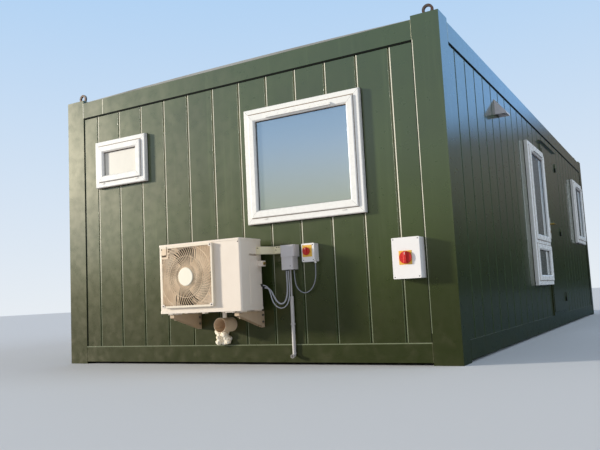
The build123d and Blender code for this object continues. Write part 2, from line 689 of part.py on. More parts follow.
def drip_strip():
    """A folded strip that throws rain clear of the door."""
    z0 = DOOR_HEAD + DRIP_RISE
    z1 = z0 + DRIP_H
    outline = [
        (WALL_RECESS, z1), (WALL_RECESS, z0), (WALL_RECESS - DRIP_T, z0),
        (WALL_RECESS - DRIP_T, z0 + DRIP_H / 2), (WALL_RECESS - DRIP_REACH, z0 + DRIP_H / 3),
        (WALL_RECESS - DRIP_REACH, z0 + DRIP_H / 3 + DRIP_T),
    ]
    return prism_x(outline, DOOR_X - DRIP_OVERHANG, DOOR_END + DRIP_OVERHANG)


save("door_frame", RIGHT * door_frame())
save("door_leaf", RIGHT * door_leaf())
save("door_hinges", [RIGHT * hinge for hinge in door_hinges()])
save("door_handle_plates", [RIGHT * plate for plate in handle_plates()])
save("door_lever", RIGHT * door_lever())
save("drip_strip", RIGHT * drip_strip())


# Vent cowl

def vent_cowl():
    """A folded hood with a sloping top, open below."""
    z1 = TOP_RAIL_BOTTOM - COWL_DROP
    z0 = z1 - COWL_H
    tip = WALL_RECESS - COWL_REACH
    outside = [(WALL_RECESS, z0), (WALL_RECESS, z1), (tip, z0 + COWL_LIP), (tip, z0)]
    fold = COWL_T * math.hypot(COWL_REACH, COWL_H - COWL_LIP) / COWL_REACH
    slope = (COWL_H - COWL_LIP) / COWL_REACH
    inside = [
        (WALL_RECESS, z0 - 1), (WALL_RECESS, z1 - fold),
        (tip + COWL_T, z0 + COWL_LIP + COWL_T * slope - fold), (tip + COWL_T, z0 - 1),
    ]
    hood = prism_x(outside, COWL_X, COWL_X + COWL_W)
    return hood - prism_x(inside, COWL_X + COWL_T, COWL_X + COWL_W - COWL_T)


save("vent_cowl", RIGHT * vent_cowl())


# Air-conditioning unit

AC_END = AC_X + AC_W
AC_BACK = AC_FRONT + AC_D
AC_TOP = AC_Z + AC_H
FAN_X, FAN_Z = AC_X + HUB_X, AC_Z + HUB_Z
BRACKET_TOP = AC_Z - AC_FOOT_H
BRACKET_XS = (AC_X + BRACKET_FROM_LEFT, AC_END - BRACKET_FROM_RIGHT)


def rounded_box(x0, x1, y0, y1, z0, z1, radius):
    """A box with its upright edges rounded."""
    return fillet(block(x0, x1, y0, y1, z0, z1).edges().filter_by(Axis.Z), radius)


def coil_slots(z0, z1):
    """The heights of the gaps between the bars over the coil."""
    pitch = (z1 - z0 + COIL_BAR_H) / COIL_BARS
    return [(z0 + i * pitch, z0 + (i + 1) * pitch - COIL_BAR_H) for i in range(COIL_BARS)]


def ac_casing():
    """The casing with its pan, lid, fan duct, coil openings, grip, service cover, valve, spout and feet."""
    casing = rounded_box(AC_X, AC_END, AC_FRONT, AC_BACK, AC_Z, AC_TOP, AC_CORNER)
    over = AC_PAN_OVER
    casing += rounded_box(AC_X - over, AC_END + over, AC_FRONT - over, AC_BACK + over,
                          AC_Z, AC_Z + AC_PAN_H, AC_CORNER + over)
    over = AC_LID_OVER
    lid = rounded_box(AC_X - over, AC_END + over, AC_FRONT - over, AC_BACK + over,
                      AC_TOP - AC_LID_H, AC_TOP, AC_CORNER + over)
    casing += fillet(lid.faces().sort_by(Axis.Z)[-1].edges(), AC_LID_ROUND)
    casing += block(AC_END, AC_END + COVER_T, AC_FRONT + GRIP_SETBACK, AC_BACK - AC_CORNER,
                    AC_Z + COVER_RISE, AC_Z + COVER_RISE + COVER_H)
    casing -= rod((FAN_X, AC_FRONT - 1, FAN_Z), DUCT_R, DUCT_DEPTH + 1, (0, 1, 0))
    casing -= block(AC_END - GRIP_DEPTH, AC_END + 1, AC_FRONT + GRIP_SETBACK,
                    AC_FRONT + GRIP_SETBACK + GRIP_L, AC_Z + GRIP_RISE, AC_Z + GRIP_RISE + GRIP_H)
    for rise in COVER_SLOT_RISES:
        casing -= block(AC_END - COVER_T, AC_END + COVER_T + 1, AC_BACK - AC_CORNER - COVER_SLOT_L,
                        AC_BACK - AC_CORNER - COVER_T, AC_Z + rise, AC_Z + rise + COVER_SLOT_H)
    for z0, z1 in coil_slots(AC_Z + COIL_MARGIN, AC_TOP - COIL_MARGIN):
        casing -= block(AC_X - 1, AC_X + COIL_DEPTH, AC_FRONT + COIL_MARGIN, AC_BACK - COIL_MARGIN, z0, z1)
        casing -= block(AC_X + COIL_MARGIN, FAN_X + DUCT_R, AC_BACK - COIL_DEPTH, AC_BACK + 1, z0, z1)
    valve_y = AC_BACK - VALVE_FORE
    valve_z = AC_Z + VALVE_RISE
    casing += block(AC_END - 1, AC_END + VALVE_W, valve_y - VALVE_D / 2, valve_y + VALVE_D / 2,
                    valve_z, valve_z + VALVE_H)
    spout = (AC_X + SPOUT_X, AC_FRONT + SPOUT_Y, AC_Z + 1)
    casing += rod(spout, SPOUT_FLANGE_R, SPOUT_FLANGE_T + 1, (0, 0, -1))
    casing += rod(spout, SPOUT_R, SPOUT_L + 1, (0, 0, -1))
    for x in BRACKET_XS:
        for y in (AC_FRONT + BRACKET_TIP_GAP + AC_FOOT_H, AC_BACK - AC_FOOT_W / 2):
            casing += block(x - AC_FOOT_W / 2, x + AC_FOOT_W / 2, y, y + AC_FOOT_W / 2, BRACKET_TOP, AC_Z)
    return casing


def swirl_slot(index, r0, r1):
    """One opening of the guard, between two ribs and two rings."""
    step = 360 / GUARD_RIBS
    inner, outer = r0 + GUARD_RING_W / 2, r1 - GUARD_RING_W / 2
    rising = [inner + (outer - inner) * i / GUARD_RIB_STEPS for i in range(GUARD_RIB_STEPS + 1)]
    points = []
    for side, radii in ((0, rising), (1, rising[::-1])):
        for r in radii:
            swirl = GUARD_SWIRL * (r - GUARD_HUB_R)
            half_rib = math.degrees(GUARD_RIB_W / 2 / r)
            angle = math.radians((index + side) * step + swirl + (half_rib if side == 0 else -half_rib))
            points.append((r * math.cos(angle), r * math.sin(angle)))
    return Polygon(*points, align=None)


def fan_guard():
    """A square guard with a domed disc, rings and curved ribs, on a turned-in rim."""
    middle = (AC_X + GUARD_X + GUARD_W / 2, AC_Z + GUARD_Z + GUARD_H / 2)
    front = AC_FRONT - GUARD_REACH
    outside = RectangleRounded(GUARD_W, GUARD_H, GUARD_CORNER)
    plate = Pos(middle[0], front + GUARD_T, middle[1]) * extrude(Plane.XZ * outside, GUARD_T)
    inside = Rectangle(GUARD_W - 2 * GUARD_BORDER, GUARD_H - 2 * GUARD_BORDER)
    inside = Pos(middle[0] - FAN_X, middle[1] - FAN_Z) * inside
    tab = Rectangle(TAB_W + GUARD_BORDER, TAB_H + TAB_GRIP_H + GUARD_BORDER)
    tab_x = AC_X + GUARD_X + TAB_W / 2 + GUARD_BORDER / 2 - FAN_X
    tab_z = AC_Z + GUARD_Z + GUARD_H - (TAB_H + TAB_GRIP_H + GUARD_BORDER) / 2 - FAN_Z
    inside -= Pos(tab_x, tab_z) * tab
    openings = Sketch()
    for ring in range(GUARD_RINGS):
        r0 = GUARD_HUB_R + ring * GUARD_RING_PITCH
        for i in range(GUARD_RIBS):
            for face in (inside & swirl_slot(i, r0, r0 + GUARD_RING_PITCH)).faces():
                if face.area > GUARD_LEAST_SLOT:
                    openings += face
    plate -= Pos(FAN_X, front + GUARD_T + 1, FAN_Z) * extrude(Plane.XZ * openings, GUARD_T + 2)
    ring = outside - RectangleRounded(GUARD_W - 2 * GUARD_RIM, GUARD_H - 2 * GUARD_RIM,
                                      GUARD_CORNER - GUARD_RIM)
    rim = Pos(middle[0], AC_FRONT, middle[1]) * extrude(Plane.XZ * ring, GUARD_REACH)
    disc = rod((FAN_X, front + 1, FAN_Z), GUARD_HUB_R, GUARD_HUB_DOME + 1, (0, -1, 0))
    disc = fillet(front_face(disc).edges(), GUARD_HUB_DOME - 1)
    corner = (AC_X + GUARD_X, AC_Z + GUARD_Z + GUARD_H)
    tab = block(corner[0], corner[0] + TAB_W, front - TAB_T, front + 1, corner[1] - TAB_H, corner[1])
    grip = block(corner[0] + GUARD_RIM, corner[0] + TAB_W, front - 1, front + GUARD_T + 1,
                 corner[1] - TAB_H - TAB_GRIP_H, corner[1] - TAB_H)
    return plate + rim + disc + tab - grip


FAN_BACK = AC_FRONT + DUCT_DEPTH - MOTOR_L - FAN_BACK_GAP


def fan_blade(index):
    """A twisted blade, steep at the root and flat at the tip."""
    sections = []
    for radius, (chord, pitch, thick) in (
        (FAN_HUB_R * 0.9, BLADE_ROOT), (FAN_R * 0.6, BLADE_MIDDLE), (FAN_R * 0.98, BLADE_TIP),
    ):
        plane = Plane(origin=(0, 0, radius), x_dir=(1, 0, 0), z_dir=(0, 0, 1))
        sections.append(plane * Rot(0, 0, pitch) * Rectangle(chord, thick))
    return Rot(0, index * 360 / FAN_BLADES, 0) * loft(sections)


def ac_fan():
    """The fan: a hub with a bore and its blades, turning about Y."""
    fan = rod((0, -FAN_HUB_L / 2, 0), FAN_HUB_R, FAN_HUB_L, (0, 1, 0))
    for i in range(FAN_BLADES):
        fan += fan_blade(i)
    fan -= rod((0, -FAN_HUB_L / 2 + FAN_BORE_START, 0), FAN_SHAFT_R + PIN_CLEARANCE, FAN_HUB_L, (0, 1, 0))
    return Pos(FAN_X, FAN_BACK - FAN_HUB_L / 2, FAN_Z) * fan


def ac_motor():
    """The motor at the back of the duct, with its shaft in the fan's hub."""
    back = AC_FRONT + DUCT_DEPTH
    motor = rod((FAN_X, back - MOTOR_L, FAN_Z), MOTOR_R, MOTOR_L, (0, 1, 0))
    motor = fillet(front_face(motor).edges(), MOTOR_ROUND)
    tip = FAN_BACK - FAN_HUB_L + FAN_BORE_START + 2
    return motor + rod((FAN_X, tip, FAN_Z), FAN_SHAFT_R, back - MOTOR_L - tip + 1, (0, 1, 0))


def ac_brackets():
    """Folded arms that run out from the wall under the unit's feet, with a stud at each tip."""
    arms = []
    wall, tip = WALL_RECESS, AC_FRONT + BRACKET_TIP_GAP
    t = BRACKET_T
    outside = [
        (wall, BRACKET_TOP), (wall, BRACKET_TOP - BRACKET_WALL_H),
        (tip, BRACKET_TOP - BRACKET_TIP_H), (tip, BRACKET_TOP),
    ]
    inside = [
        (wall - t, BRACKET_TOP - t), (wall - t, BRACKET_TOP - 2 * BRACKET_WALL_H),
        (tip + t, BRACKET_TOP - 2 * BRACKET_WALL_H), (tip + t, BRACKET_TOP - t),
    ]
    for x in BRACKET_XS:
        arm = prism_x(outside, x - BRACKET_W / 2, x + BRACKET_W / 2)
        arm -= prism_x(inside, x - BRACKET_W / 2 + t, x + BRACKET_W / 2 - t)
        stud_y = tip + AC_FOOT_H + AC_FOOT_W / 4
        arm += rod((x, stud_y, BRACKET_TOP - 1), STUD_R, STUD_L, (0, 0, -1))
        arm += rod((x, stud_y, BRACKET_TOP - t + 1), NUT_R, NUT_H, (0, 0, -1))
        arms.append(arm)
    return arms


save("ac_casing", FRONT * ac_casing())
save("ac_fan_guard", FRONT * fan_guard())
save("ac_fan", FRONT * ac_fan())
save("ac_motor", FRONT * ac_motor())
save("ac_brackets", [FRONT * arm for arm in ac_brackets()])


# Refrigerant pipes, trunking and elbow box

TRUNK_X = AC_END + TRUNK_GAP
TRUNK_Z = AC_Z + TRUNK_RISE
ELBOW_X = TRUNK_X + TRUNK_L
ELBOW_Z = TRUNK_Z - ELBOW_BELOW
PIPE_X = ELBOW_X + PIPE_IN


def refrigerant_pipes():
    """The lagged pipes, out of the unit's side and back into the trunking."""
    x = AC_END + LAGGING_RUN
    y = AC_BACK - VALVE_FORE
    z = TRUNK_Z + TRUNK_H / 2
    inlet = WALL_RECESS - LAGGING_R - 1
    path = FilletPolyline((AC_END, y, z), (x, y, z), (x, inlet, z), (TRUNK_X, inlet, z),
                          radius=LAGGING_BEND)
    start = Plane(origin=path @ 0, z_dir=(1, 0, 0))
    return sweep(start * Circle(LAGGING_R), path=path)


def trunking():
    """The short run of trunking, rounded along its front edges."""
    trunk = block(TRUNK_X, ELBOW_X, WALL_RECESS - TRUNK_D, WALL_RECESS, TRUNK_Z, TRUNK_Z + TRUNK_H)
    return fillet(front_face(trunk).edges().filter_by(Axis.X), TRUNK_ROUND)


def elbow_box():
    """A boxed elbow with a lapping cap, both rounded in front."""
    front = WALL_RECESS - ELBOW_D
    top = ELBOW_Z + ELBOW_H
    body = block(ELBOW_X, ELBOW_X + ELBOW_W, front, WALL_RECESS, ELBOW_Z, top)
    body = fillet(front_face(body).edges().filter_by(Axis.Z), ELBOW_ROUND)
    cap = block(ELBOW_X, ELBOW_X + ELBOW_W + 2 * ELBOW_CAP_OVER, front - ELBOW_CAP_OVER,
                WALL_RECESS, top - ELBOW_CAP_H, top + ELBOW_CAP_OVER)
    cap = fillet(front_face(cap).edges().sort_by(Axis.Z)[1:], ELBOW_CAP_ROUND)
    return body + cap


save("refrigerant_pipes", FRONT * refrigerant_pipes())
save("cable_trunking", FRONT * trunking())
save("elbow_box", FRONT * elbow_box())


# Isolators

def isolator(x, z, w, h, d, knob):
    """A switch box with a lid seam, screw wells and the hole for its knob's pin."""
    front = WALL_RECESS - d
    box = block(x, x + w, front, WALL_RECESS, z, z + h)
    box = fillet(box.edges().filter_by(Axis.Y), ISO_CORNER)
    seam = front + d * ISO_LID_SHARE
    inner = block(x + ISO_SEAM_DEPTH, x + w - ISO_SEAM_DEPTH, seam - 1, seam + ISO_SEAM_W + 1,
                  z + ISO_SEAM_DEPTH, z + h - ISO_SEAM_DEPTH)
    band = block(x - 1, x + w + 1, seam, seam + ISO_SEAM_W, z - 1, z + h + 1)
    box -= band - fillet(inner.edges().filter_by(Axis.Y), ISO_CORNER - ISO_SEAM_DEPTH)
    for sx in (x + ISO_SCREW_INSET, x + w - ISO_SCREW_INSET):
        for sz in (z + ISO_SCREW_INSET, z + h - ISO_SCREW_INSET):
            box -= rod((sx, front - 1, sz), ISO_SCREW_R, ISO_SCREW_DEPTH + 1, (0, 1, 0))
    return box - rod((knob[0], front - 1, knob[1]), KNOB_PIN_R + PIN_CLEARANCE, KNOB_PIN_L + 2, (0, 1, 0))


def isolator_plate(x, z, w, h, d, knob):
    """The thin plate behind a knob."""
    face = WALL_RECESS - d
    plate = block(x, x + w, face - ISO_PLATE_T, face, z, z + h)
    return plate - rod((knob[0], face - ISO_PLATE_T - 1, knob[1]), KNOB_PIN_R + PIN_CLEARANCE,
                       ISO_PLATE_T + 2, (0, 1, 0))


def isolator_knob(knob, d, radius):
    """A round knob with a grip bar and a pin."""
    x, z = knob
    face = WALL_RECESS - d - ISO_PLATE_T - KNOB_GAP
    disc = rod((x, face, z), radius, KNOB_H / 2, (0, -1, 0))
    half = radius * KNOB_GRIP_W / 2
    grip = block(x - half, x + half, face - KNOB_H, face - KNOB_H / 2, z - radius * 0.92, z + radius * 0.92)
    grip = fillet(front_face(grip).edges(), half * 0.5)
    pin = rod((x, face - 1, z), KNOB_PIN_R, KNOB_PIN_L, (0, 1, 0))
    return disc + grip + pin


def gland(point, direction):
    """A six-sided cable gland that ends at a cable's first point."""
    start = Plane(origin=point, z_dir=direction)
    return extrude(start * RegularPolygon(GLAND_R, 6), GLAND_H)


LARGE_ISO_X = WIDTH - LARGE_ISO_INSET - LARGE_ISO_W
SMALL_KNOB = (SMALL_ISO_X + SMALL_KNOB_X, SMALL_ISO_Z + SMALL_KNOB_Z)
LARGE_KNOB = (LARGE_ISO_X + LARGE_KNOB_X, LARGE_ISO_Z + LARGE_KNOB_Z)
small = isolator(SMALL_ISO_X, SMALL_ISO_Z, SMALL_ISO_W, SMALL_ISO_H, SMALL_ISO_D, SMALL_KNOB)
save("small_isolator", FRONT * (small + gland(ISO_ROUTE[0], (0, 0, 1))))
save("small_isolator_knob", FRONT * isolator_knob(SMALL_KNOB, SMALL_ISO_D, SMALL_KNOB_R))
save("large_isolator", FRONT * isolator(
    LARGE_ISO_X, LARGE_ISO_Z, LARGE_ISO_W, LARGE_ISO_H, LARGE_ISO_D, LARGE_KNOB))
save("large_isolator_knob", FRONT * isolator_knob(LARGE_KNOB, LARGE_ISO_D, LARGE_KNOB_R))
save("isolator_plates", [
    FRONT * isolator_plate(SMALL_ISO_X + SMALL_PLATE_X, SMALL_ISO_Z + SMALL_PLATE_Z,
                           SMALL_PLATE_W, SMALL_PLATE_H, SMALL_ISO_D, SMALL_KNOB),
    FRONT * isolator_plate(LARGE_ISO_X + LARGE_PLATE_X, LARGE_ISO_Z + LARGE_PLATE_Z,
                           LARGE_PLATE_W, LARGE_PLATE_H, LARGE_ISO_D, LARGE_KNOB),
])


# Drain pipe, pipe stub and foam

def drain_pipe():
    """A rigid pipe with a clip and a turned-out mouth, and its thin hose above."""
    path = FilletPolyline((PIPE_X, PIPE_OUT, PIPE_TOP), (PIPE_X, PIPE_OUT, PIPE_BOTTOM),
                          (PIPE_X, PIPE_OUT - PIPE_MOUTH, PIPE_BOTTOM), radius=PIPE_BEND)
    pipe = sweep(Plane(origin=path @ 0, z_dir=(0, 0, -1)) * Circle(PIPE_R), path=path)
    pipe -= rod((PIPE_X, PIPE_OUT - PIPE_MOUTH - 1, PIPE_BOTTOM), PIPE_BORE_R, PIPE_BEND, (0, 1, 0))
    for z in CLIP_ZS:
        pipe += rod((PIPE_X, PIPE_OUT, z - CLIP_H / 2), CLIP_R, CLIP_H, (0, 0, 1))
        pipe += block(PIPE_X - CLIP_W / 2, PIPE_X + CLIP_W / 2, PIPE_OUT, WALL_RECESS,
                      z - CLIP_H / 2, z + CLIP_H / 2)
    return pipe + rod((PIPE_X, PIPE_OUT, PIPE_TOP - 1), HOSE_R, ELBOW_Z - PIPE_TOP + 1, (0, 0, 1))


def pipe_stub():
    """A short end of soil pipe standing out of the wall."""
    outer = rod((STUB_X, STUB_OUT, STUB_Z), STUB_R, WALL_RECESS - STUB_OUT, (0, 1, 0))
    return outer - rod((STUB_X, STUB_OUT - 1, STUB_Z), STUB_R - STUB_T, WALL_RECESS - STUB_OUT - 3, (0, 1, 0))


def pipe_foam():
    """The foam that has swelled out between the stub and the bottom rail."""
    x = FOAM_X
    foam = block(x - FOAM_W / 2, x + FOAM_W / 2, FOAM_FRONT, WALL_RECESS, BOTTOM_RAIL_TOP,
                 BOTTOM_RAIL_TOP + FOAM_H)
    foam = chamfer(foam.faces().sort_by(Axis.Y)[0].edges(), FOAM_CUT)
    stub = rod((STUB_X, STUB_OUT - 1, STUB_Z), STUB_R, WALL_RECESS - STUB_OUT + 2, (0, 1, 0))
    above = block(x - FOAM_W, x + FOAM_W, STUB_OUT, WALL_RECESS + 1, STUB_Z - STUB_R / 2, STUB_Z + STUB_R)
    return foam - stub - above


save("drain_pipe", FRONT * drain_pipe())
save("pipe_stub", FRONT * pipe_stub())
save("pipe_foam", FRONT * pipe_foam())


# Cables

def corner_radius(before, corner, after):
    """The largest arc that a corner's two runs allow."""
    a, b = corner - before, after - corner
    turn = math.radians(a.get_angle(b))
    return 0.45 * min(a.length, b.length) / math.tan(turn / 2)


def cable(node, route, radius):
    """A cable along straight runs joined by arcs, with a many-sided section."""
    points = [Vector(*point) for point in route]
    radii = [corner_radius(*points[i:i + 3]) for i in range(len(points) - 2)]
    path = FilletPolyline(*points, radius=radii)
    section = Plane(origin=points[0], z_dir=points[1] - points[0]) * RegularPolygon(radius, CABLE_SIDES)
    tube = sweep(section, path=path)
    print(node, "length", round(path.length), "radii", [round(r) for r in radii],
          "volume ratio", round(tube.volume / (section.area * path.length), 4))
    save(node, FRONT * tube)


cable("cable_thin", THIN_ROUTE, THIN_R)
cable("cable_thick", THICK_ROUTE, THICK_R)
cable("isolator_cable", ISO_ROUTE, ISO_CABLE_R)
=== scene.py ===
"""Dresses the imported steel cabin: finishes, fine pieces, cables, studio and camera."""
import bmesh
import bpy
import math
import random
from mathutils import Matrix, Vector, noise


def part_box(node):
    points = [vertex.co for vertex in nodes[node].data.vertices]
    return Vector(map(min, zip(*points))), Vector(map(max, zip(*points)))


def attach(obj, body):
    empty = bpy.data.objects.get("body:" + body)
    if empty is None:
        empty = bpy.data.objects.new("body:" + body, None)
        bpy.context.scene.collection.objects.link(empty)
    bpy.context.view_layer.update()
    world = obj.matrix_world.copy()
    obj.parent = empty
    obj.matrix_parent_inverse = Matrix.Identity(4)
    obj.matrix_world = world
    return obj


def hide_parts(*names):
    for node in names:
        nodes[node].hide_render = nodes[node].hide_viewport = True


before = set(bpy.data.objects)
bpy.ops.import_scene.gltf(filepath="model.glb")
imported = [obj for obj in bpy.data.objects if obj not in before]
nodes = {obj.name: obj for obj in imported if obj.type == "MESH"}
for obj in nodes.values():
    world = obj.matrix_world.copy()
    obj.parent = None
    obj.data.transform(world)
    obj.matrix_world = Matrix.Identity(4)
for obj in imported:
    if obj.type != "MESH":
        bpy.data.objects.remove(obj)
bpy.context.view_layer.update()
MM = 0.001

# Each wall's own frame, as seen from outside, in millimetres: x from its left end, y inwards, z up
corner_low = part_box("corner_post_front_left")[0]
corner_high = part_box("corner_post_back_right")[1]
WALLS = {
    "front": Matrix.Translation((corner_low.x, corner_low.y, 0)),
    "right": Matrix.Translation((corner_high.x, corner_low.y, 0)) @ Matrix.Rotation(math.pi / 2, 4, "Z"),
    "back": Matrix.Translation((corner_high.x, corner_high.y, 0)) @ Matrix.Rotation(math.pi, 4, "Z"),
    "left": Matrix.Translation((corner_low.x, corner_high.y, 0)) @ Matrix.Rotation(-math.pi / 2, 4, "Z"),
}
WIDTH = (corner_high.x - corner_low.x) / MM
LENGTH = (corner_high.y - corner_low.y) / MM
WALL_LENGTH = {"front": WIDTH, "back": WIDTH, "right": LENGTH, "left": LENGTH}


def at(wall, x, y, z):
    """A point of a wall's frame, in metres in the part's frame."""
    return WALLS[wall] @ Vector((x * MM, y * MM, z * MM))


class Span:
    """A box in one wall's frame."""

    def __init__(self, wall, points):
        back = WALLS[wall].inverted()
        local = [[c / MM for c in back @ Vector(point)] for point in points]
        self.wall = wall
        self.x0, self.y0, self.z0 = (min(p[i] for p in local) for i in range(3))
        self.x1, self.y1, self.z1 = (max(p[i] for p in local) for i in range(3))
        self.w, self.d, self.h = self.x1 - self.x0, self.y1 - self.y0, self.z1 - self.z0
        self.x, self.y, self.z = self.x0 + self.w / 2, self.y0 + self.d / 2, self.z0 + self.h / 2

    def edges(self, out=0.0):
        """Its left, right, bottom and top, moved outwards."""
        return self.x0 - out, self.x1 + out, self.z0 - out, self.z1 + out


def span(node, wall="front"):
    """A whole node's box in a wall's frame."""
    return Span(wall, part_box(node))


def solids(node):
    """The points of each separate solid of a node."""
    mesh = nodes[node].data
    keys = [tuple(round(c, 5) for c in vertex.co) for vertex in mesh.vertices]
    groups = []
    for face in mesh.polygons:
        points = {keys[i] for i in face.vertices}
        apart = [group for group in groups if group.isdisjoint(points)]
        touched = [group for group in groups if not group.isdisjoint(points)]
        groups = apart + [points.union(*touched)]
    return groups


def wall_of(points):
    """The wall that a window's solid lies along and is nearest to."""
    box = Span("front", points)
    if box.w > box.d:
        return "front" if box.y < LENGTH / 2 else "back"
    return "left" if box.x < WIDTH / 2 else "right"


def spans_of(*names, wall=None):
    """The box of each solid of some nodes, in a wall's frame or in its own wall's."""
    return [Span(wall or wall_of(points), points) for name in names for points in solids(name)]


frames = spans_of("front_window_frames", "right_window_frames", "rear_window_frames")
sashes = spans_of("front_window_sashes", "right_window_sashes", "rear_window_sashes")
panes = spans_of("window_glass")
doorway = span("door_frame", "right")
openings = frames + [doorway]
sheets = {wall: span(f"{wall}_sheet", wall) for wall in WALLS}
casing = span("ac_casing")
guard_box = span("ac_fan_guard")
FAN_CENTRE = (1680, 700)


# Colours and shader nodes

def rgb(red, green, blue):
    """A colour from its sRGB numbers out of 255."""
    def linear(value):
        value /= 255
        return value / 12.92 if value <= 0.04045 else ((value + 0.055) / 1.055) ** 2.4
    return (linear(red), linear(green), linear(blue), 1.0)


def shade(colour, share):
    """A colour, darkened."""
    return tuple(c * share for c in colour[:3]) + (1.0,)


class Nodes:
    """A node tree, with short calls that add to it."""

    def __init__(self, tree):
        self.tree = tree

    def add(self, kind, **settings):
        """A node with some of its settings."""
        node = self.tree.nodes.new(kind)
        for name, value in settings.items():
            setattr(node, name, value)
        return node

    def feed(self, socket, value):
        """Links an output, or sets a plain value."""
        if isinstance(value, bpy.types.NodeSocket):
            self.tree.links.new(value, socket)
        else:
            socket.default_value = value

    def parts(self, vector):
        """The X, Y and Z of a vector."""
        node = self.add("ShaderNodeSeparateXYZ")
        self.feed(node.inputs[0], vector)
        return node.outputs

    def count(self, operation, a, b=0.0):
        """A sum of one or two numbers."""
        node = self.add("ShaderNodeMath", operation=operation)
        for socket, value in zip(node.inputs, (a, b)):
            self.feed(socket, value)
        return node.outputs[0]

    def band(self, value, low, high, to_low=0.0, to_high=1.0, kind="SMOOTHSTEP"):
        """A step between two levels, smooth unless told otherwise."""
        node = self.add("ShaderNodeMapRange", interpolation_type=kind)
        for name, number in (("Value", value), ("From Min", low), ("From Max", high),
                             ("To Min", to_low), ("To Max", to_high)):
            self.feed(node.inputs[name], number)
        return node.outputs[0]

    def mix(self, share, a, b):
        """Two colours, mixed."""
        node = self.add("ShaderNodeMix", data_type="RGBA")
        for socket, value in ((node.inputs["Factor"], share), (node.inputs[6], a), (node.inputs[7], b)):
            self.feed(socket, value)
        return node.outputs[2]


class Finish(Nodes):
    """A procedural material in the object's own coordinates, which are metres."""

    def __init__(self, name, colour, roughness, **sockets):
        self.material = bpy.data.materials.new(name)
        self.material.use_nodes = True
        self.material.diffuse_color = colour
        super().__init__(self.material.node_tree)
        self.shader = self.tree.nodes["Principled BSDF"]
        self.colour(colour)
        self.roughness(roughness)
        for socket, value in sockets.items():
            self.shader.inputs[socket.replace("_", " ")].default_value = value
        self.coordinates = self.add("ShaderNodeTexCoord").outputs["Object"]

    def stretched(self, stretch):
        """The coordinates, multiplied along each axis."""
        node = self.add("ShaderNodeVectorMath", operation="MULTIPLY")
        self.feed(node.inputs[0], self.coordinates)
        node.inputs[1].default_value = stretch
        return node.outputs[0]

    def texture(self, kind, stretch, **values):
        """A texture over the coordinates; its scale is in waves for each metre."""
        node = self.add(kind)
        self.feed(node.inputs["Vector"], self.stretched(stretch))
        for name, value in values.items():
            node.inputs[name].default_value = value
        return node.outputs

    def noise(self, scale, detail, stretch=(1, 1, 1), roughness=0.55):
        """Fractal noise from 0 to 1."""
        values = {"Scale": scale, "Detail": detail, "Roughness": roughness}
        return self.texture("ShaderNodeTexNoise", stretch, **values)["Fac"]

    def cells(self, scale):
        """The distance to scattered points."""
        return self.texture("ShaderNodeTexVoronoi", (1, 1, 1), Scale=scale)["Distance"]

    def axis(self, name):
        """One coordinate."""
        return self.parts(self.coordinates)[name]

    def facing(self, name):
        """One component of the surface's normal."""
        return self.parts(self.add("ShaderNodeNewGeometry").outputs["Normal"])[name]

    def size_of(self, value):
        """A number without its sign."""
        return self.count("ABSOLUTE", value)

    def top_faces(self, amount):
        """Where the surface faces up, by some amount."""
        return self.band(self.facing("Z"), 0.6, 0.98, 0, amount)

    def colour(self, value):
        self.feed(self.shader.inputs["Base Color"], value)

    def roughness(self, value):
        self.feed(self.shader.inputs["Roughness"], value)

    def bump(self, *layers):
        """Relief from pairs of a height and its depth in metres."""
        normal = None
        for height, depth in layers:
            node = self.add("ShaderNodeBump")
            node.inputs["Distance"].default_value = depth
            node.inputs["Strength"].default_value = 1.0
            self.feed(node.inputs["Height"], height)
            if normal is not None:
                self.feed(node.inputs["Normal"], normal)
            normal = node.outputs[0]
        self.feed(self.shader.inputs["Normal"], normal)


# Finishes; heights are in metres above the floor that the cabin rests on

GREEN = rgb(55, 73, 34)
GREEN_DARK = rgb(48, 64, 32)
GREEN_LOW_SHADE = rgb(36, 43, 10)
# The green that the painted shade reaches at the bottom
GREEN_PALE = rgb(82, 97, 60)
FLANK_PAINTED_LIGHT = rgb(136, 138, 108)
WARM_GLOSS = (1.0, 0.9, 0.62, 1.0)
# A pale colour for painted highlights along bends and edges
GLINT_PALE = rgb(248, 242, 220)
DUST = rgb(136, 128, 106)
MUD = rgb(84, 76, 58)
# Heights between which painted shade darkens the paint
SHADE_BELOW, SHADE_FULL = 1.3, 0.2
COAT_DULL, COAT_FULL = 0.4, 1.1
SPLASH_TOP, SPLASH_FULL = 0.6, 0.02
# Heights between which the painted highlights fade to green
GLINT_LEAST, GLINT_FULL = 0.4, 1.2
# Heights of the pane's painted sky reflection, from pale to blue
SKY_REFLECTION_LOW, SKY_REFLECTION_HIGH = 1.0, 2.0
GUARD_DISC_R = 70.2
GUARD_BORDER = 14


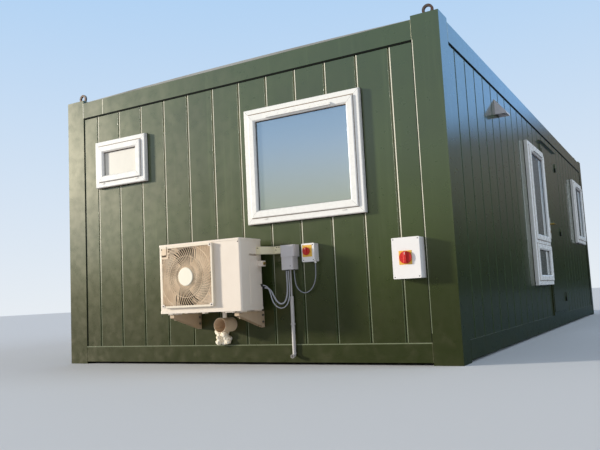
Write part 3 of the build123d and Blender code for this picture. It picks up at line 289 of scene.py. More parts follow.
def green_paint(name="green_paint", grooved=False):
    """Gloss paint with broad mottling, rain streaks, dust on ledges and splashes low down, painted shade
    that darkens it towards the bottom, and on grooved sheets painted light on the grooves' flanks.
    """
    paint = Finish(name, GREEN, 0.3, IOR=1.7, Specular_Tint=WARM_GLOSS, Coat_Roughness=0.09, Coat_IOR=1.5)
    tone = paint.mix(paint.band(paint.noise(1.1, 4), 0.35, 0.68), GREEN_DARK, GREEN)
    streaks = paint.noise(1.0, 5, (16, 16, 0.7), 0.6)
    tone = paint.mix(paint.band(streaks, 0.52, 0.78, 0, 0.35), tone, GREEN_PALE)
    # Painted light: the grooves' sideways-facing flanks are painted paler, so their shade reads lighter
    if grooved:
        square = paint.count("MAXIMUM", paint.size_of(paint.facing("X")), paint.size_of(paint.facing("Y")))
        tone = paint.mix(paint.band(square, 0.95, 0.85, 0, 0.3), tone, FLANK_PAINTED_LIGHT)
    height = paint.axis("Z")
    # Painted shade: darker towards the bottom
    tone = paint.mix(paint.band(height, SHADE_BELOW, SHADE_FULL, 0, 0.85), tone, GREEN_LOW_SHADE)
    paint.feed(paint.shader.inputs["Coat Weight"], paint.band(height, COAT_DULL, COAT_FULL, 0.15, 1.0))
    splash = paint.band(paint.noise(9, 7), 0.45, 0.75)
    splash = paint.count("MULTIPLY", paint.band(height, SPLASH_TOP, SPLASH_FULL), splash)
    tone = paint.mix(paint.count("MULTIPLY", splash, 0.15), tone, MUD)
    ledge = paint.band(paint.facing("Z"), 0.6, 0.95)
    ledge = paint.count("MULTIPLY", ledge, paint.band(paint.noise(24, 5), 0.2, 0.6, 0.35, 0.85))
    paint.colour(paint.mix(ledge, tone, DUST))
    rough = paint.band(paint.noise(14, 3), 0.3, 0.7, 0.272, 0.312)
    paint.roughness(paint.count("ADD", rough, paint.count("MULTIPLY", splash, 0.08)))
    paint.bump((paint.noise(1.6, 2, (1, 1, 0.45)), 0.008), (paint.noise(420, 2), 0.000015))
    return paint.material


def bend_paint():
    """The same paint along a bend, thinner and a little polished."""
    paint = Finish("green_bend_paint", GREEN, 0.34, IOR=1.55)
    chips = paint.band(paint.noise(40, 5, (1, 1, 0.3)), 0.45, 0.75, 0, 0.5)
    paint.colour(paint.mix(chips, GREEN, GREEN_PALE))
    return paint.material


def glint_paint():
    """Pale paint along a bend that stands for a painted highlight, greener towards the ground and chipped
    here and there.
    """
    paint = Finish("glint_bend_paint", GLINT_PALE, 0.34, IOR=1.5)
    fade = paint.band(paint.axis("Z"), GLINT_LEAST, GLINT_FULL, 0.12, 1.0)
    chips = paint.band(paint.noise(26, 5, (1, 1, 0.22)), 0.5, 0.78, 1.0, 0.55)
    paint.colour(paint.mix(paint.count("MULTIPLY", fade, chips), GREEN_PALE, GLINT_PALE))
    paint.bump((paint.noise(300, 3, (1, 1, 0.2)), 0.0001),)
    return paint.material


def roof_steel():
    """Weathered coated sheet, with ponding marks."""
    steel = Finish("roof_steel", rgb(142, 144, 142), 0.55)
    ponds = steel.band(steel.noise(0.9, 7), 0.42, 0.7)
    tone = steel.mix(ponds, rgb(150, 152, 149), rgb(128, 129, 122))
    steel.colour(steel.mix(steel.band(steel.noise(14, 6), 0.55, 0.8, 0, 0.4), tone, rgb(104, 104, 92)))
    steel.roughness(steel.band(ponds, 0, 1, 0.5, 0.75))
    steel.bump((steel.noise(3, 3), 0.004), (steel.noise(300, 2), 0.0001))
    return steel.material


def window_plastic():
    """White window plastic with a little grime where rain dries, and painted shade on faces that look down.
    """
    skin = Finish("window_plastic", rgb(248, 247, 242), 0.26, IOR=1.5)
    grime = skin.band(skin.noise(3, 5, (1, 1, 1.6)), 0.5, 0.85, 0, 0.25)
    tone = skin.mix(grime, rgb(249, 248, 243), rgb(234, 230, 218))
    tone = skin.mix(skin.top_faces(0.35), tone, rgb(206, 200, 182))
    # Painted shade on faces that look down
    underside_shade = skin.band(skin.facing("Z"), -0.6, -0.98, 0, 0.75)
    skin.colour(skin.mix(underside_shade, tone, rgb(190, 160, 146)))
    skin.roughness(skin.band(skin.noise(30, 3), 0.3, 0.7, 0.22, 0.34))
    skin.bump((skin.noise(5, 2), 0.0004),)
    return skin.material


def window_pane():
    """A sealed pane, half a mirror to a pale sky, with a painted sky reflection that turns blue towards the
    top, and faint rain marks.
    """
    pane = Finish("window_pane", rgb(170, 195, 214), 0.03, IOR=1.5, Metallic=0.62, Transmission_Weight=0.5)
    # Painted reflection of the sky: paler low down, blue towards the top
    height = pane.band(pane.axis("Z"), SKY_REFLECTION_LOW, SKY_REFLECTION_HIGH)
    tone = pane.mix(height, rgb(226, 229, 226), rgb(178, 201, 218))
    marks = pane.band(pane.noise(12, 6, (1, 1, 0.35)), 0.58, 0.88, 0, 0.2)
    pane.colour(pane.mix(marks, tone, rgb(196, 200, 198)))
    pane.roughness(pane.band(marks, 0, 0.2, 0.02, 0.1))
    return pane.material


def guard_plastic():
    """The fan guard: tan ribs, with a paler border, catch and middle disc."""
    guard = Finish("guard_plastic", rgb(206, 182, 150), 0.5)

    def off(axis, place):
        return guard.count("SUBTRACT", guard.axis(axis), place)

    def squared(value):
        return guard.count("MULTIPLY", value, value)

    def beyond(half):
        return (half - GUARD_BORDER - 1) * MM, (half - GUARD_BORDER) * MM

    middle = at("front", FAN_CENTRE[0], 0, FAN_CENTRE[1])
    square = at("front", guard_box.x, 0, guard_box.z)
    reach = guard.count("ADD", squared(off("X", middle.x)), squared(off("Z", middle.z)))
    disc = guard.band(guard.count("POWER", reach, 0.5), (GUARD_DISC_R + 0.8) * MM, GUARD_DISC_R * MM)
    sides = guard.band(guard.size_of(off("X", square.x)), *beyond(guard_box.w / 2))
    ends = guard.band(guard.size_of(off("Z", square.z)), *beyond(guard_box.h / 2))
    grime = guard.band(guard.noise(9, 5), 0.4, 0.75)
    tone = guard.mix(grime, rgb(232, 208, 176), rgb(212, 184, 150))
    tone = guard.mix(guard.count("MAXIMUM", sides, ends), tone, rgb(236, 224, 202))
    guard.colour(guard.mix(disc, tone, rgb(246, 240, 220)))
    guard.bump((guard.noise(900, 2), 0.00006),)
    return guard.material


def moulded(name, colour, roughness, dark=0.88, scale=9.0, texture=0.00008, **sockets):
    """A plastic or enamel in one colour, a little uneven and grimy, with a fine texture."""
    skin = Finish(name, colour, roughness, **sockets)
    grime = skin.band(skin.noise(scale, 6, (1, 1, 0.6)), 0.4, 0.75)
    skin.colour(skin.mix(skin.top_faces(0.3), skin.mix(grime, colour, shade(colour, dark)), DUST))
    skin.roughness(skin.band(skin.noise(scale * 4, 3), 0.3, 0.7, roughness * 0.85, roughness * 1.2))
    skin.bump((skin.noise(900, 2), texture),)
    return skin.material


def metal(name, colour, roughness, rust=0.0, brushed=(1, 1, 1)):
    """A bare or plated metal with scratches, and rust where asked."""
    steel = Finish(name, colour, roughness, Metallic=1.0 if rust < 0.5 else 0.6)
    dull = shade(colour, 0.72)
    tone = steel.mix(steel.band(steel.noise(60, 5, brushed), 0.35, 0.7), colour, dull)
    spots = steel.band(steel.noise(38, 7), 0.62 - 0.3 * rust, 0.75, 0, min(1.0, rust * 1.6))
    steel.colour(steel.mix(spots, tone, rgb(104, 62, 38)))
    steel.roughness(steel.band(steel.noise(140, 3, brushed), 0.3, 0.7, roughness * 0.8, roughness * 1.3))
    steel.bump((steel.noise(500, 3, brushed), 0.00008), (steel.noise(45, 5), 0.0004 * rust))
    return steel.material


def timber():
    """Sawn softwood with grain along the joists."""
    wood = Finish("sawn_timber", rgb(168, 138, 98), 0.75)
    grain = wood.noise(30, 6, (0.12, 6, 6))
    wood.colour(wood.mix(wood.band(grain, 0.35, 0.7), rgb(176, 146, 104), rgb(124, 94, 62)))
    wood.bump((grain, 0.0006),)
    return wood.material


def vinyl():
    """Grey-brown sheet vinyl with fine flecks."""
    floor = Finish("sheet_vinyl", rgb(122, 116, 106), 0.42)
    floor.colour(floor.mix(floor.band(floor.cells(420), 0.1, 0.45), rgb(96, 90, 82), rgb(132, 126, 116)))
    floor.bump((floor.noise(600, 2), 0.00005),)
    return floor.material


def lining():
    """Pale faced boards."""
    board = Finish("pale_lining", rgb(224, 222, 214), 0.55)
    patches = board.band(board.noise(2.2, 5), 0.35, 0.7)
    board.colour(board.mix(patches, rgb(228, 226, 218), rgb(208, 205, 194)))
    board.bump((board.noise(260, 3), 0.00012),)
    return board.material


def foam_finish():
    """Cured expanding foam: cream skin with open bubbles."""
    foam = Finish("cured_foam", rgb(238, 226, 194), 0.75)
    bubbles = foam.cells(160)
    foam.colour(foam.mix(foam.band(foam.noise(34, 5), 0.35, 0.75), rgb(255, 250, 236), rgb(242, 222, 184)))
    foam.bump((bubbles, 0.002), (foam.noise(90, 4), 0.0015))
    return foam.material


def frosted_film():
    """A smooth milky film on a pane."""
    film = Finish("frosted_film", rgb(240, 238, 228), 0.35)
    film.colour(film.mix(film.band(film.noise(2.5, 4), 0.35, 0.7), rgb(228, 224, 212), rgb(216, 212, 202)))
    film.bump((film.noise(160, 2), 0.00002),)
    return film.material


def plain(name, colour, roughness=0.6, **sockets):
    """A dark or minor finish with slight unevenness."""
    finish = Finish(name, colour, roughness, **sockets)
    finish.colour(finish.mix(finish.band(finish.noise(50, 4), 0.35, 0.7), colour, shade(colour, 0.75)))
    finish.bump((finish.noise(400, 2), 0.00005),)
    return finish.material


PAINT = green_paint()
SHEET = green_paint("green_sheet_paint", grooved=True)
BEND = bend_paint()
GLINT = glint_paint()
ROOF = roof_steel()
UPVC = window_plastic()
PANE = window_pane()
LINING = lining()
VINYL = vinyl()
TIMBER = timber()
FOAM = foam_finish()
ENAMEL = moulded("unit_enamel", rgb(243, 230, 214), 0.34, 0.96, 4.0)
GUARD = guard_plastic()
FAN = moulded("fan_plastic", rgb(62, 55, 48), 0.5)
COWL = moulded("cowl_plastic", rgb(236, 234, 240), 0.4, 0.95)
CREAM = moulded("cream_plastic", rgb(246, 236, 200), 0.45, 0.95, 4.0)
BOX_WHITE = moulded("box_plastic", rgb(214, 209, 208), 0.42, 0.96, 4.0)
ISO_GREY = moulded("isolator_plastic", rgb(246, 243, 240), 0.38, 0.98, 4.0)
YELLOW = moulded("yellow_plate", rgb(240, 190, 70), 0.4)
KNOB = moulded("red_plastic", rgb(206, 44, 38), 0.3)
PIPE = moulded("pipe_plastic", rgb(204, 200, 197), 0.35)
STUB = moulded("soil_pipe_plastic", rgb(246, 220, 188), 0.42, 0.95)
LAGGING = moulded("pipe_lagging", rgb(250, 242, 214), 0.7, 0.92, texture=0.0004)
CABLE = moulded("cable_sheath", rgb(186, 187, 194), 0.42)
CABLE_DARK = moulded("cable_sheath_dark", rgb(146, 148, 156), 0.45)
BRACKET = moulded("bracket_coat", rgb(205, 180, 150), 0.5)
ENAMEL_BLACK = moulded("motor_enamel", rgb(38, 38, 40), 0.4)
EYE_STEEL = metal("lifting_steel", rgb(92, 86, 80), 0.55, 0.7)
ZINC = metal("zinc_plate", rgb(168, 168, 162), 0.38, 0.15)
SATIN = metal("satin_aluminium", rgb(198, 198, 196), 0.3, 0.0, (1, 1, 8))
PLATE = moulded("anodised_plate", rgb(228, 224, 212), 0.35, Metallic=0.25)
BRASS = metal("brass", rgb(196, 158, 84), 0.3)
GASKET = plain("black_rubber", rgb(34, 33, 34), 0.6)
SHADOW = plain("dark_gap", rgb(26, 25, 24), 0.8)
# Dark sealant, which also serves as painted shade under the top rails
SEALANT_AND_SHADE = plain("dark_sealant_and_shade", rgb(14, 20, 12), 0.85, IOR=1.25)
JOINT_LINE = plain("joint_line", rgb(150, 148, 140))
# Brown lines of painted shade in the gaps round the sashes
GAP_SHADE_LINE = plain("gap_shade_line", rgb(150, 130, 108))
FROST = frosted_film()
HINGE = metal("hinge_steel", rgb(66, 66, 60), 0.5, 0.2)
DUCT = plain("duct_dark", rgb(70, 56, 44), 0.7)
COIL = metal("coil_fins", rgb(150, 152, 154), 0.4)

# The finish of each CAD piece: the first line here with a word that its name holds
FINISHED = (
    (PAINT, "corner_post _rails_ drip_strip door_leaf door_frame"), (SHEET, "_sheet"), (ROOF, "roof_deck"),
    (LINING, "_wall ceiling_panel"), (VINYL, "floor_deck"), (TIMBER, "floor_joists"),
    (UPVC, "window_frames window_sashes trickle_vents"), (PANE, "window_glass"),
    (EYE_STEEL, "lifting_eyes"), (HINGE, "door_hinges"), (PLATE, "door_handle_plates"),
    (BRASS, "door_lever"), (COWL, "vent_cowl"), (ENAMEL, "ac_casing"), (GUARD, "ac_fan_guard"),
    (FAN, "ac_fan"), (ENAMEL_BLACK, "ac_motor"), (BRACKET, "ac_brackets"), (CREAM, "cable_trunking"),
    (BOX_WHITE, "elbow_box"), (KNOB, "_knob"), (YELLOW, "isolator_plates"),
    (CABLE_DARK, "isolator_cable"), (ISO_GREY, "isolator"), (LAGGING, "refrigerant_pipes"),
    (PIPE, "drain_pipe"), (STUB, "pipe_stub"), (FOAM, "pipe_foam"), (CABLE, "cable_thin cable_thick"),
)
for name, node in nodes.items():
    finish = next(finish for finish, words in FINISHED if any(word in name for word in words.split()))
    for slot in node.material_slots:
        slot.material = finish


# Mesh building

SCREW_DOME = ((0, 1), (0.35, 0.92), (0.6, 0.5))
SHARP_ANGLE = 38


def all_round(direction, sides):
    """A unit vector along a direction, and unit vectors around it."""
    axis = Vector(direction).normalized()
    across = axis.orthogonal().normalized()
    third = axis.cross(across)
    turns = (2 * math.pi * i / sides for i in range(sides))
    return axis, [across * math.cos(turn) + third * math.sin(turn) for turn in turns]


class Shape:
    """Gathers solids into one mesh, in a wall's frame."""

    def __init__(self, wall="front"):
        self.mesh = bmesh.new()
        self.wall = wall

    def on(self, wall):
        """Builds what follows in another wall's frame."""
        self.wall = wall
        return self

    def add(self, points, faces):
        """Vertices and the faces between them."""
        made = [self.mesh.verts.new(at(self.wall, *point)) for point in points]
        for face in faces:
            self.mesh.faces.new([made[i] for i in face])

    def box(self, x0, x1, y0, y1, z0, z1):
        """A block between two corners."""
        points = [(x, y, z) for x in (x0, x1) for y in (y0, y1) for z in (z0, z1)]
        faces = [(0, 1, 3, 2), (4, 6, 7, 5), (0, 4, 5, 1), (2, 3, 7, 6), (0, 2, 6, 4), (1, 5, 7, 3)]
        self.add(points, faces)

    def rings(self, rings):
        """A skin over rings of points, capped at both ends."""
        n = len(rings[0])
        points = [point for ring in rings for point in ring]
        pairs = [(i, (i + 1) % n) for i in range(n)]
        last = len(points) - n
        faces = [(k + i, k + j, k + n + j, k + n + i) for k in range(0, last, n) for i, j in pairs]
        self.add(points, faces + [range(n - 1, -1, -1), range(last, len(points))])

    def lathe(self, origin, direction, profile, sides):
        """A turned form, from pairs of a distance along direction and a radius."""
        axis, outs = all_round(direction, sides)
        start = Vector(origin)
        self.rings([[start + axis * along + out * radius for out in outs] for along, radius in profile])

    def turned(self, origin, direction, outline, sides):
        """A ring with a closed section, of distances along direction and radii."""
        axis, outs = all_round(direction, sides)
        n, points, faces = len(outline), [], []
        for k, out in enumerate(outs):
            points += [Vector(origin) + axis * along + out * radius for along, radius in outline]
            start, after = k * n, (k + 1) % sides * n
            faces += [(start + i, start + (i + 1) % n, after + (i + 1) % n, after + i) for i in range(n)]
        self.add(points, faces)

    def rod(self, origin, direction, length, radius, sides):
        """A plain round bar."""
        self.lathe(origin, direction, [(0, radius), (length, radius)], sides)

    def frame(self, x0, x1, z0, z1, y0, y1, width):
        """Four bars around a rectangle, inside its edge."""
        self.box(x0, x1, y0, y1, z0, z0 + width)
        self.box(x0, x1, y0, y1, z1 - width, z1)
        self.box(x0, x0 + width, y0, y1, z0 + width, z1 - width)
        self.box(x1 - width, x1, y0, y1, z0 + width, z1 - width)

    def screw(self, x, y, z, radius):
        """A domed screw head that faces outwards."""
        dome = [(along * radius, share * radius) for along, share in SCREW_DOME]
        self.lathe((x, y, z), (0, -1, 0), dome, 10)

    def piece(self, name, material, slot, body="cabin", bevel=0.0):
        """The finished mesh object, riding on its body."""
        bmesh.ops.recalc_face_normals(self.mesh, faces=self.mesh.faces)
        data = bpy.data.meshes.new(name)
        self.mesh.to_mesh(data)
        self.mesh.free()
        data.materials.append(material)
        data.shade_smooth()
        data.set_sharp_from_angle(angle=math.radians(SHARP_ANGLE))
        made = new_object(name, data)
        if bevel:
            rounding = made.modifiers.new("rounding", "BEVEL")
            rounding.width = bevel * MM
            rounding.segments = 2
            rounding.limit_method = "ANGLE"
        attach(made, body)


def new_object(name, data):
    """An object in the scene."""
    made = bpy.data.objects.new(name, data)
    bpy.context.scene.collection.objects.link(made)
    return made


# Wall sheets: rolled edges along the grooves, and on the front a painted highlight up each groove's right
# shoulder

GROOVE_PITCH = 263
GROOVE_MOUTH, GROOVE_FLOOR, GROOVE_DEPTH = 16, 5, 8
FIRST_GROOVE = {"front": 379.5, "back": 379.5, "right": 345, "left": 345}
SHEET_FACE = 6
BEND_R, BEND_SUNK = 2.6, 1.5
GLINT_WIDTH, GLINT_SKIN = 5, 0.4
LEAST_RUN = 10


def clear_heights(wall, x):
    """The stretches of a groove that no window or door covers."""
    start = sheets[wall].z0
    stretches = []
    for z0, z1 in sorted((o.z0, o.z1) for o in openings if o.wall == wall and o.x0 < x < o.x1):
        stretches.append((start, z0))
        start = z1
    stretches.append((start, sheets[wall].z1))
    return [(z0, z1) for z0, z1 in stretches if z1 - z0 > LEAST_RUN]


def groove_bends():
    """A rolled edge along each shoulder of each groove, except a painted highlight on the front's right
    shoulders.
    """
    bends, glints = Shape(), Shape()
    for wall, sheet in sheets.items():
        bends.on(wall)
        x = FIRST_GROOVE[wall]
        while x < sheet.x1 - GROOVE_MOUTH:
            for side in (-1, 1):
                edge = x + side * GROOVE_MOUTH / 2
                for z0, z1 in clear_heights(wall, edge):
                    # The front's right shoulders get a painted highlight instead of a rolled edge
                    if wall == "front" and side == 1:
                        glint_edge(glints, x, z0, z1)
                    else:
                        bends.rod((edge, SHEET_FACE + BEND_SUNK, z0), (0, 0, 1), z1 - z0, BEND_R, 10)
            x += GROOVE_PITCH
    bends.piece("groove_bends", BEND, "green_steel")
    glints.piece("groove_glint_edges", GLINT, "green_steel")


def glint_edge(shape, x, z0, z1):
    """A skin of pale paint, a painted highlight, up a groove's flank and over its shoulder."""
    floor, mouth = x + GROOVE_FLOOR / 2, x + GROOVE_MOUTH / 2
    outline = [
        (floor, SHEET_FACE + GROOVE_DEPTH), (mouth, SHEET_FACE), (mouth + GLINT_WIDTH, SHEET_FACE),
        (mouth + GLINT_WIDTH, SHEET_FACE - GLINT_SKIN), (mouth - GLINT_SKIN, SHEET_FACE - GLINT_SKIN),
        (floor - GLINT_SKIN, SHEET_FACE + GROOVE_DEPTH),
    ]
    shape.rings([[(px, py, z) for px, py in outline] for z in (z0 + 1, z1 - 1)])


groove_bends()


# Windows: gaskets, spacers, corner joints, drain caps, sealant, and painted shade in the gaps round the
# sashes

FRAME_FACE_Y = -36
FRAME_FACE, SASH_FACE = 58, 56
GASKET_W, GASKET_REACH = 4, 3
SPACER_W, SPACER_HALF = 7, 6
SEAL_W = 4
CAP_SHARE, CAP_HALF = 0.165, 17


def window_details():
    """The small parts of every window."""
    gaskets, spacers, joints, caps, seal, lines = (Shape() for _ in range(6))
    for pane in panes:
        gaskets.on(pane.wall).frame(*pane.edges(), pane.y0 - GASKET_REACH, pane.y0, GASKET_W)
        middle = (pane.y - SPACER_HALF, pane.y + SPACER_HALF)
        spacers.on(pane.wall).frame(*pane.edges(-GASKET_W), *middle, SPACER_W)
    for sash in sashes:
        corner_joints(joints.on(sash.wall), sash, SASH_FACE)
        # Painted shade in the gap round each sash, wider along its top
        skin = (FRAME_FACE_Y - 0.8, FRAME_FACE_Y + 1)
        lines.on(sash.wall).frame(*sash.edges(SEAL_W), *skin, SEAL_W)
        lines.box(sash.x0 - SEAL_W, sash.x1 + SEAL_W, *skin, sash.z1 + SEAL_W + 0.2, sash.z1 + 9.5)
    for outer in frames:
        corner_joints(joints.on(outer.wall), outer, FRAME_FACE)
        for x in (outer.x0 + CAP_SHARE * outer.w, outer.x1 - CAP_SHARE * outer.w):
            heights = (outer.z0 + 30, outer.z0 + 39)
            caps.on(outer.wall).box(x - CAP_HALF, x + CAP_HALF, outer.y0 - 5, outer.y0, *heights)
        seal.on(outer.wall).frame(*outer.edges(SEAL_W), SHEET_FACE - SEAL_W, SHEET_FACE, SEAL_W)
    gaskets.piece("window_gaskets", GASKET, "white_upvc")
    spacers.piece("pane_spacers", SATIN, "white_upvc")
    joints.piece("window_corner_joints", JOINT_LINE, "white_upvc")
    lines.piece("sash_gap_shade_lines", GAP_SHADE_LINE, "white_upvc")
    caps.piece("window_drain_caps", UPVC, "white_upvc", bevel=2)
    seal.piece("window_sealant", SEALANT_AND_SHADE, "green_steel", bevel=1.5)


def corner_joints(shape, part, face):
    """The welded mitre line at each corner of a frame's front."""
    half, proud, outer, inner = 0.6, 0.2, 7, face - 3
    for x, right in ((part.x0, 1), (part.x1, -1)):
        for z, up in ((part.z0, 1), (part.z1, -1)):
            start = Vector((x + right * outer, 0, z + up * outer))
            end = Vector((x + right * inner, 0, z + up * inner))
            across = Vector((up, 0, -right)).normalized() * half
            outline = [start - across, start + across, end + across, end - across]
            shape.rings([[(p.x, y, p.z) for p in outline] for y in (part.y0 - proud, part.y0 + proud)])


def obscured_pane():
    """A frosted film on the face of the smallest pane."""
    pane = min(panes, key=lambda p: p.w * p.h)
    x0, x1, z0, z1 = pane.edges(-GASKET_W)
    film = Shape(pane.wall)
    film.box(x0, x1, pane.y0 - 0.6, pane.y0 - 0.1, z0, z1)
    film.piece("obscured_pane_film", FROST, "window_glass")


window_details()
obscured_pane()


# Steelwork: dark joints beside the posts, painted shade under the top rails, weld beads at the posts and
# painted highlights along some edges

RAIL_SEAM_X = 450
# Height of the strip of painted shade under the top rails
TOP_SHADE_H = 14
BEAD_R = 2.4


def steelwork():
    """The joints, the painted shade under the top rails, the beads and the painted highlights along edges of
    the frame.
    """
    joints, beads, glints = Shape(), Shape(), Shape()
    rail_top, rail_foot = span("top_rails_ends").z1, span("bottom_rails_ends").z0
    for wall, sheet in sheets.items():
        # A dark strip under each top rail is painted shade; the thin strips beside the posts are the joints
        low_end = sheet.z1 - TOP_SHADE_H
        joints.on(wall).box(sheet.x0, sheet.x1, 0.5, SHEET_FACE + 1, low_end, sheet.z1 - 0.3)
        beads.on(wall)
        for x, inwards in ((sheet.x0, 1), (sheet.x1, -1)):
            joints.box(*sorted((x + 0.3 * inwards, x + 5 * inwards)), 1.5, SHEET_FACE + 1, sheet.z0, low_end)
            for z0, z1 in ((rail_foot, sheet.z0), (sheet.z1, rail_top)):
                beads.rod((x, BEAD_R / 2, z0 + 2), (0, 0, 1), z1 - z0 - 4, BEAD_R, 8)
    # Painted highlights: pale strips up the right post's inner edge, over the left post and a rail seam, and
    # along the bottom rail's top edge
    front, skin = sheets["front"], (-0.5, 0.3)
    glints.box(front.x1 + 1, front.x1 + 6, *skin, front.z0 + 60, front.z1 - 1)
    glints.box(front.x0 - 6, front.x0 - 1, *skin, front.z1 + 2, rail_top - 3)
    glints.box(RAIL_SEAM_X, RAIL_SEAM_X + 5, *skin, front.z1 + 2, rail_top - 3)
    glints.box(front.x0 + 1, front.x1 - 1, *skin, front.z0 - 8, front.z0 - 1)
    joints.piece("sheet_joints_and_shade", SEALANT_AND_SHADE, "green_steel")
    beads.piece("post_weld_beads", PAINT, "green_steel")
    glints.piece("glint_edges", GLINT, "green_steel")


steelwork()


# Roof: lap seams over the crown, with their fixings, and bolts round the lifting eyes

ROOF_CROWN = 22
ROOF_PITCH = 1015
ROOF_STEPS = 24
LAP_PROFILE = ((-22, -1), (-18, 1.6), (18, 1.6), (22, -1))
ROOF_SCREW = [(0, 9), (1.5, 9), (1.6, 6), (5, 5.5), (6, 3)]
EYE_BOLT, EYE_BOLT_RING = [(-2, 9), (6, 9), (7, 7)], 50


def roof_details():
    """Raised laps across the roof and the hardware that holds it."""
    laps, fixings = Shape(), Shape()
    deck = span("roof_deck")
    for k in range(1, int(deck.d / ROOF_PITCH) + 1):
        y = deck.y0 + ROOF_PITCH * k
        line = []
        for i in range(ROOF_STEPS + 1):
            share = -1 + 2 * i / ROOF_STEPS
            line.append((deck.x + share * (deck.w / 2 - 4), deck.z1 - ROOF_CROWN * share * share))
        laps.rings([[(x, y + along, z + up) for along, up in LAP_PROFILE] for x, z in line])
        for x, z in line[1:-1:2]:
            fixings.lathe((x, y, z + 1), (0, 0, 1), ROOF_SCREW, 8)
    for eye in spans_of("lifting_eyes", wall="front"):
        for turn in (math.radians(45 + 90 * i) for i in range(4)):
            x, y = eye.x + EYE_BOLT_RING * math.cos(turn), eye.y + EYE_BOLT_RING * math.sin(turn)
            fixings.lathe((x, y, eye.z0), (0, 0, 1), EYE_BOLT, 6)
    laps.piece("roof_laps", ROOF, "roof_steel")
    fixings.piece("roof_fixings", ZINC, "roof_steel")


roof_details()


# Air-conditioning unit: finer ribs, catches, screws, duct, coil, valve cap and cable glands

UNIT_FRONT, UNIT_BACK = -360, -72
UNIT_X, PANEL_END = 1398, 2168
UNIT_Z, UNIT_TOP = 425, 960
RIB_REACH, RIB_STEP, RIB_DEPTH = 330, 9, 4
RIB_SWIRL, SWIRL_FROM = 0.16, 70
LEAST_GAP, GAP_SPREAD = 0.2, 0.4
CATCH_W, CATCH_H = 62, 82
TAB_W, TAB_H = 30, 26
TAB_SCREW_R, PANEL_SCREW_R = 5.5, 4.5
PANEL_SIDE_SCREW = [(0, 4.5), (1.6, 4.1), (2.6, 2)]
VALVE_CAP = [(0, 13), (9, 13), (12, 9), (16, 9)]
DUCT_R, DUCT_SKIN, DUCT_END, SHAFT_HOLE_R = 221.5, 2.5, 174, 20
COIL_MARGIN, COIL_DEPTH = 34, 14
FIN_PITCH, FIN_T = 6.5, 1.2
SIDE_FINS, BACK_FINS = 33, 71
ELBOW_UNDERSIDE = 713
FEET = ((1477, 1517), (1797, 1825), (2009, 2089))

# Each set of fine ribs: its inner radius, a rib's width, and the first turn and the step in degrees
RIB_SETS = ((96, 2.6, 3.0, 6.0), (168, 2.2, 1.5, 3.0))


def fine_ribs():
    """Finer swirled ribs between the guard's own, left out above and below the middle."""
    ribs, draw = Shape(), random.Random(4)
    face = guard_box.y0 + 6.4
    x0, x1, z0, z1 = guard_box.edges(-GUARD_BORDER)
    for start, width, first, step in RIB_SETS:
        for i in range(round(360 / step)):
            line, gap = [], LEAST_GAP + GAP_SPREAD * draw.random()
            for radius in range(start, RIB_REACH, RIB_STEP):
                turn = math.radians(first + step * i + RIB_SWIRL * (radius - SWIRL_FROM))
                out, up = math.cos(turn), math.sin(turn)
                x, z = FAN_CENTRE[0] + radius * out, FAN_CENTRE[1] + radius * up
                in_catch = x < x0 + CATCH_W and z > z1 - CATCH_H
                if not (x0 < x < x1 and z0 < z < z1) or in_catch:
                    break
                side = Vector((-up, 0, out)) * width / 2
                corners = ((face, -1), (face, 1), (face + RIB_DEPTH, 1), (face + RIB_DEPTH, -1))
                if abs(out) > gap:
                    line.append([Vector((x, y, z)) + side * s for y, s in corners])
                elif len(line) > 1:
                    ribs.rings(line)
                    line = []
            if len(line) > 1:
                ribs.rings(line)
    ribs.piece("guard_fine_ribs", GUARD, "guard_plastic")


def unit_fixings():
    """The guard's catches, the feet under the casing and the screws."""
    tabs, screws = Shape(), Shape()
    left, right, low, high = guard_box.edges(-1)
    face = guard_box.y0 + 6
    for x, z, inwards, up in ((right, high, -1, -1), (left, low, 1, 1), (right, low, -1, 1)):
        x0, x1 = sorted((x, x + inwards * TAB_W))
        z0, z1 = sorted((z, z + up * TAB_H))
        tabs.box(x0, x1, face - 3, face + 1, z0, z1)
        screws.screw((x0 + x1) / 2, face - 2.6, (z0 + z1) / 2, TAB_SCREW_R)
    screws.screw(guard_box.x0 + 16, face - 2.6, guard_box.z1 - 22, TAB_SCREW_R)
    for x, z in ((casing.x0 + 18, casing.z0 + 33), (PANEL_END - 18, casing.z0 + 33),
                 (PANEL_END - 18, casing.z1 - 28)):
        screws.screw(x, UNIT_FRONT, z, PANEL_SCREW_R)
    for z in (500, 700, 900):
        screws.lathe((PANEL_END, -86, z), (1, 0, 0), PANEL_SIDE_SCREW, 10)
    for x0, x1 in FEET:
        for y in (UNIT_FRONT + 6, UNIT_BACK - 46):
            tabs.box(x0, x1, y, y + 40, UNIT_Z - 9, UNIT_Z + 1)
    tabs.piece("guard_tabs", ENAMEL, "unit_white", bevel=1.5)
    screws.piece("unit_screws", GASKET, "unit_white")


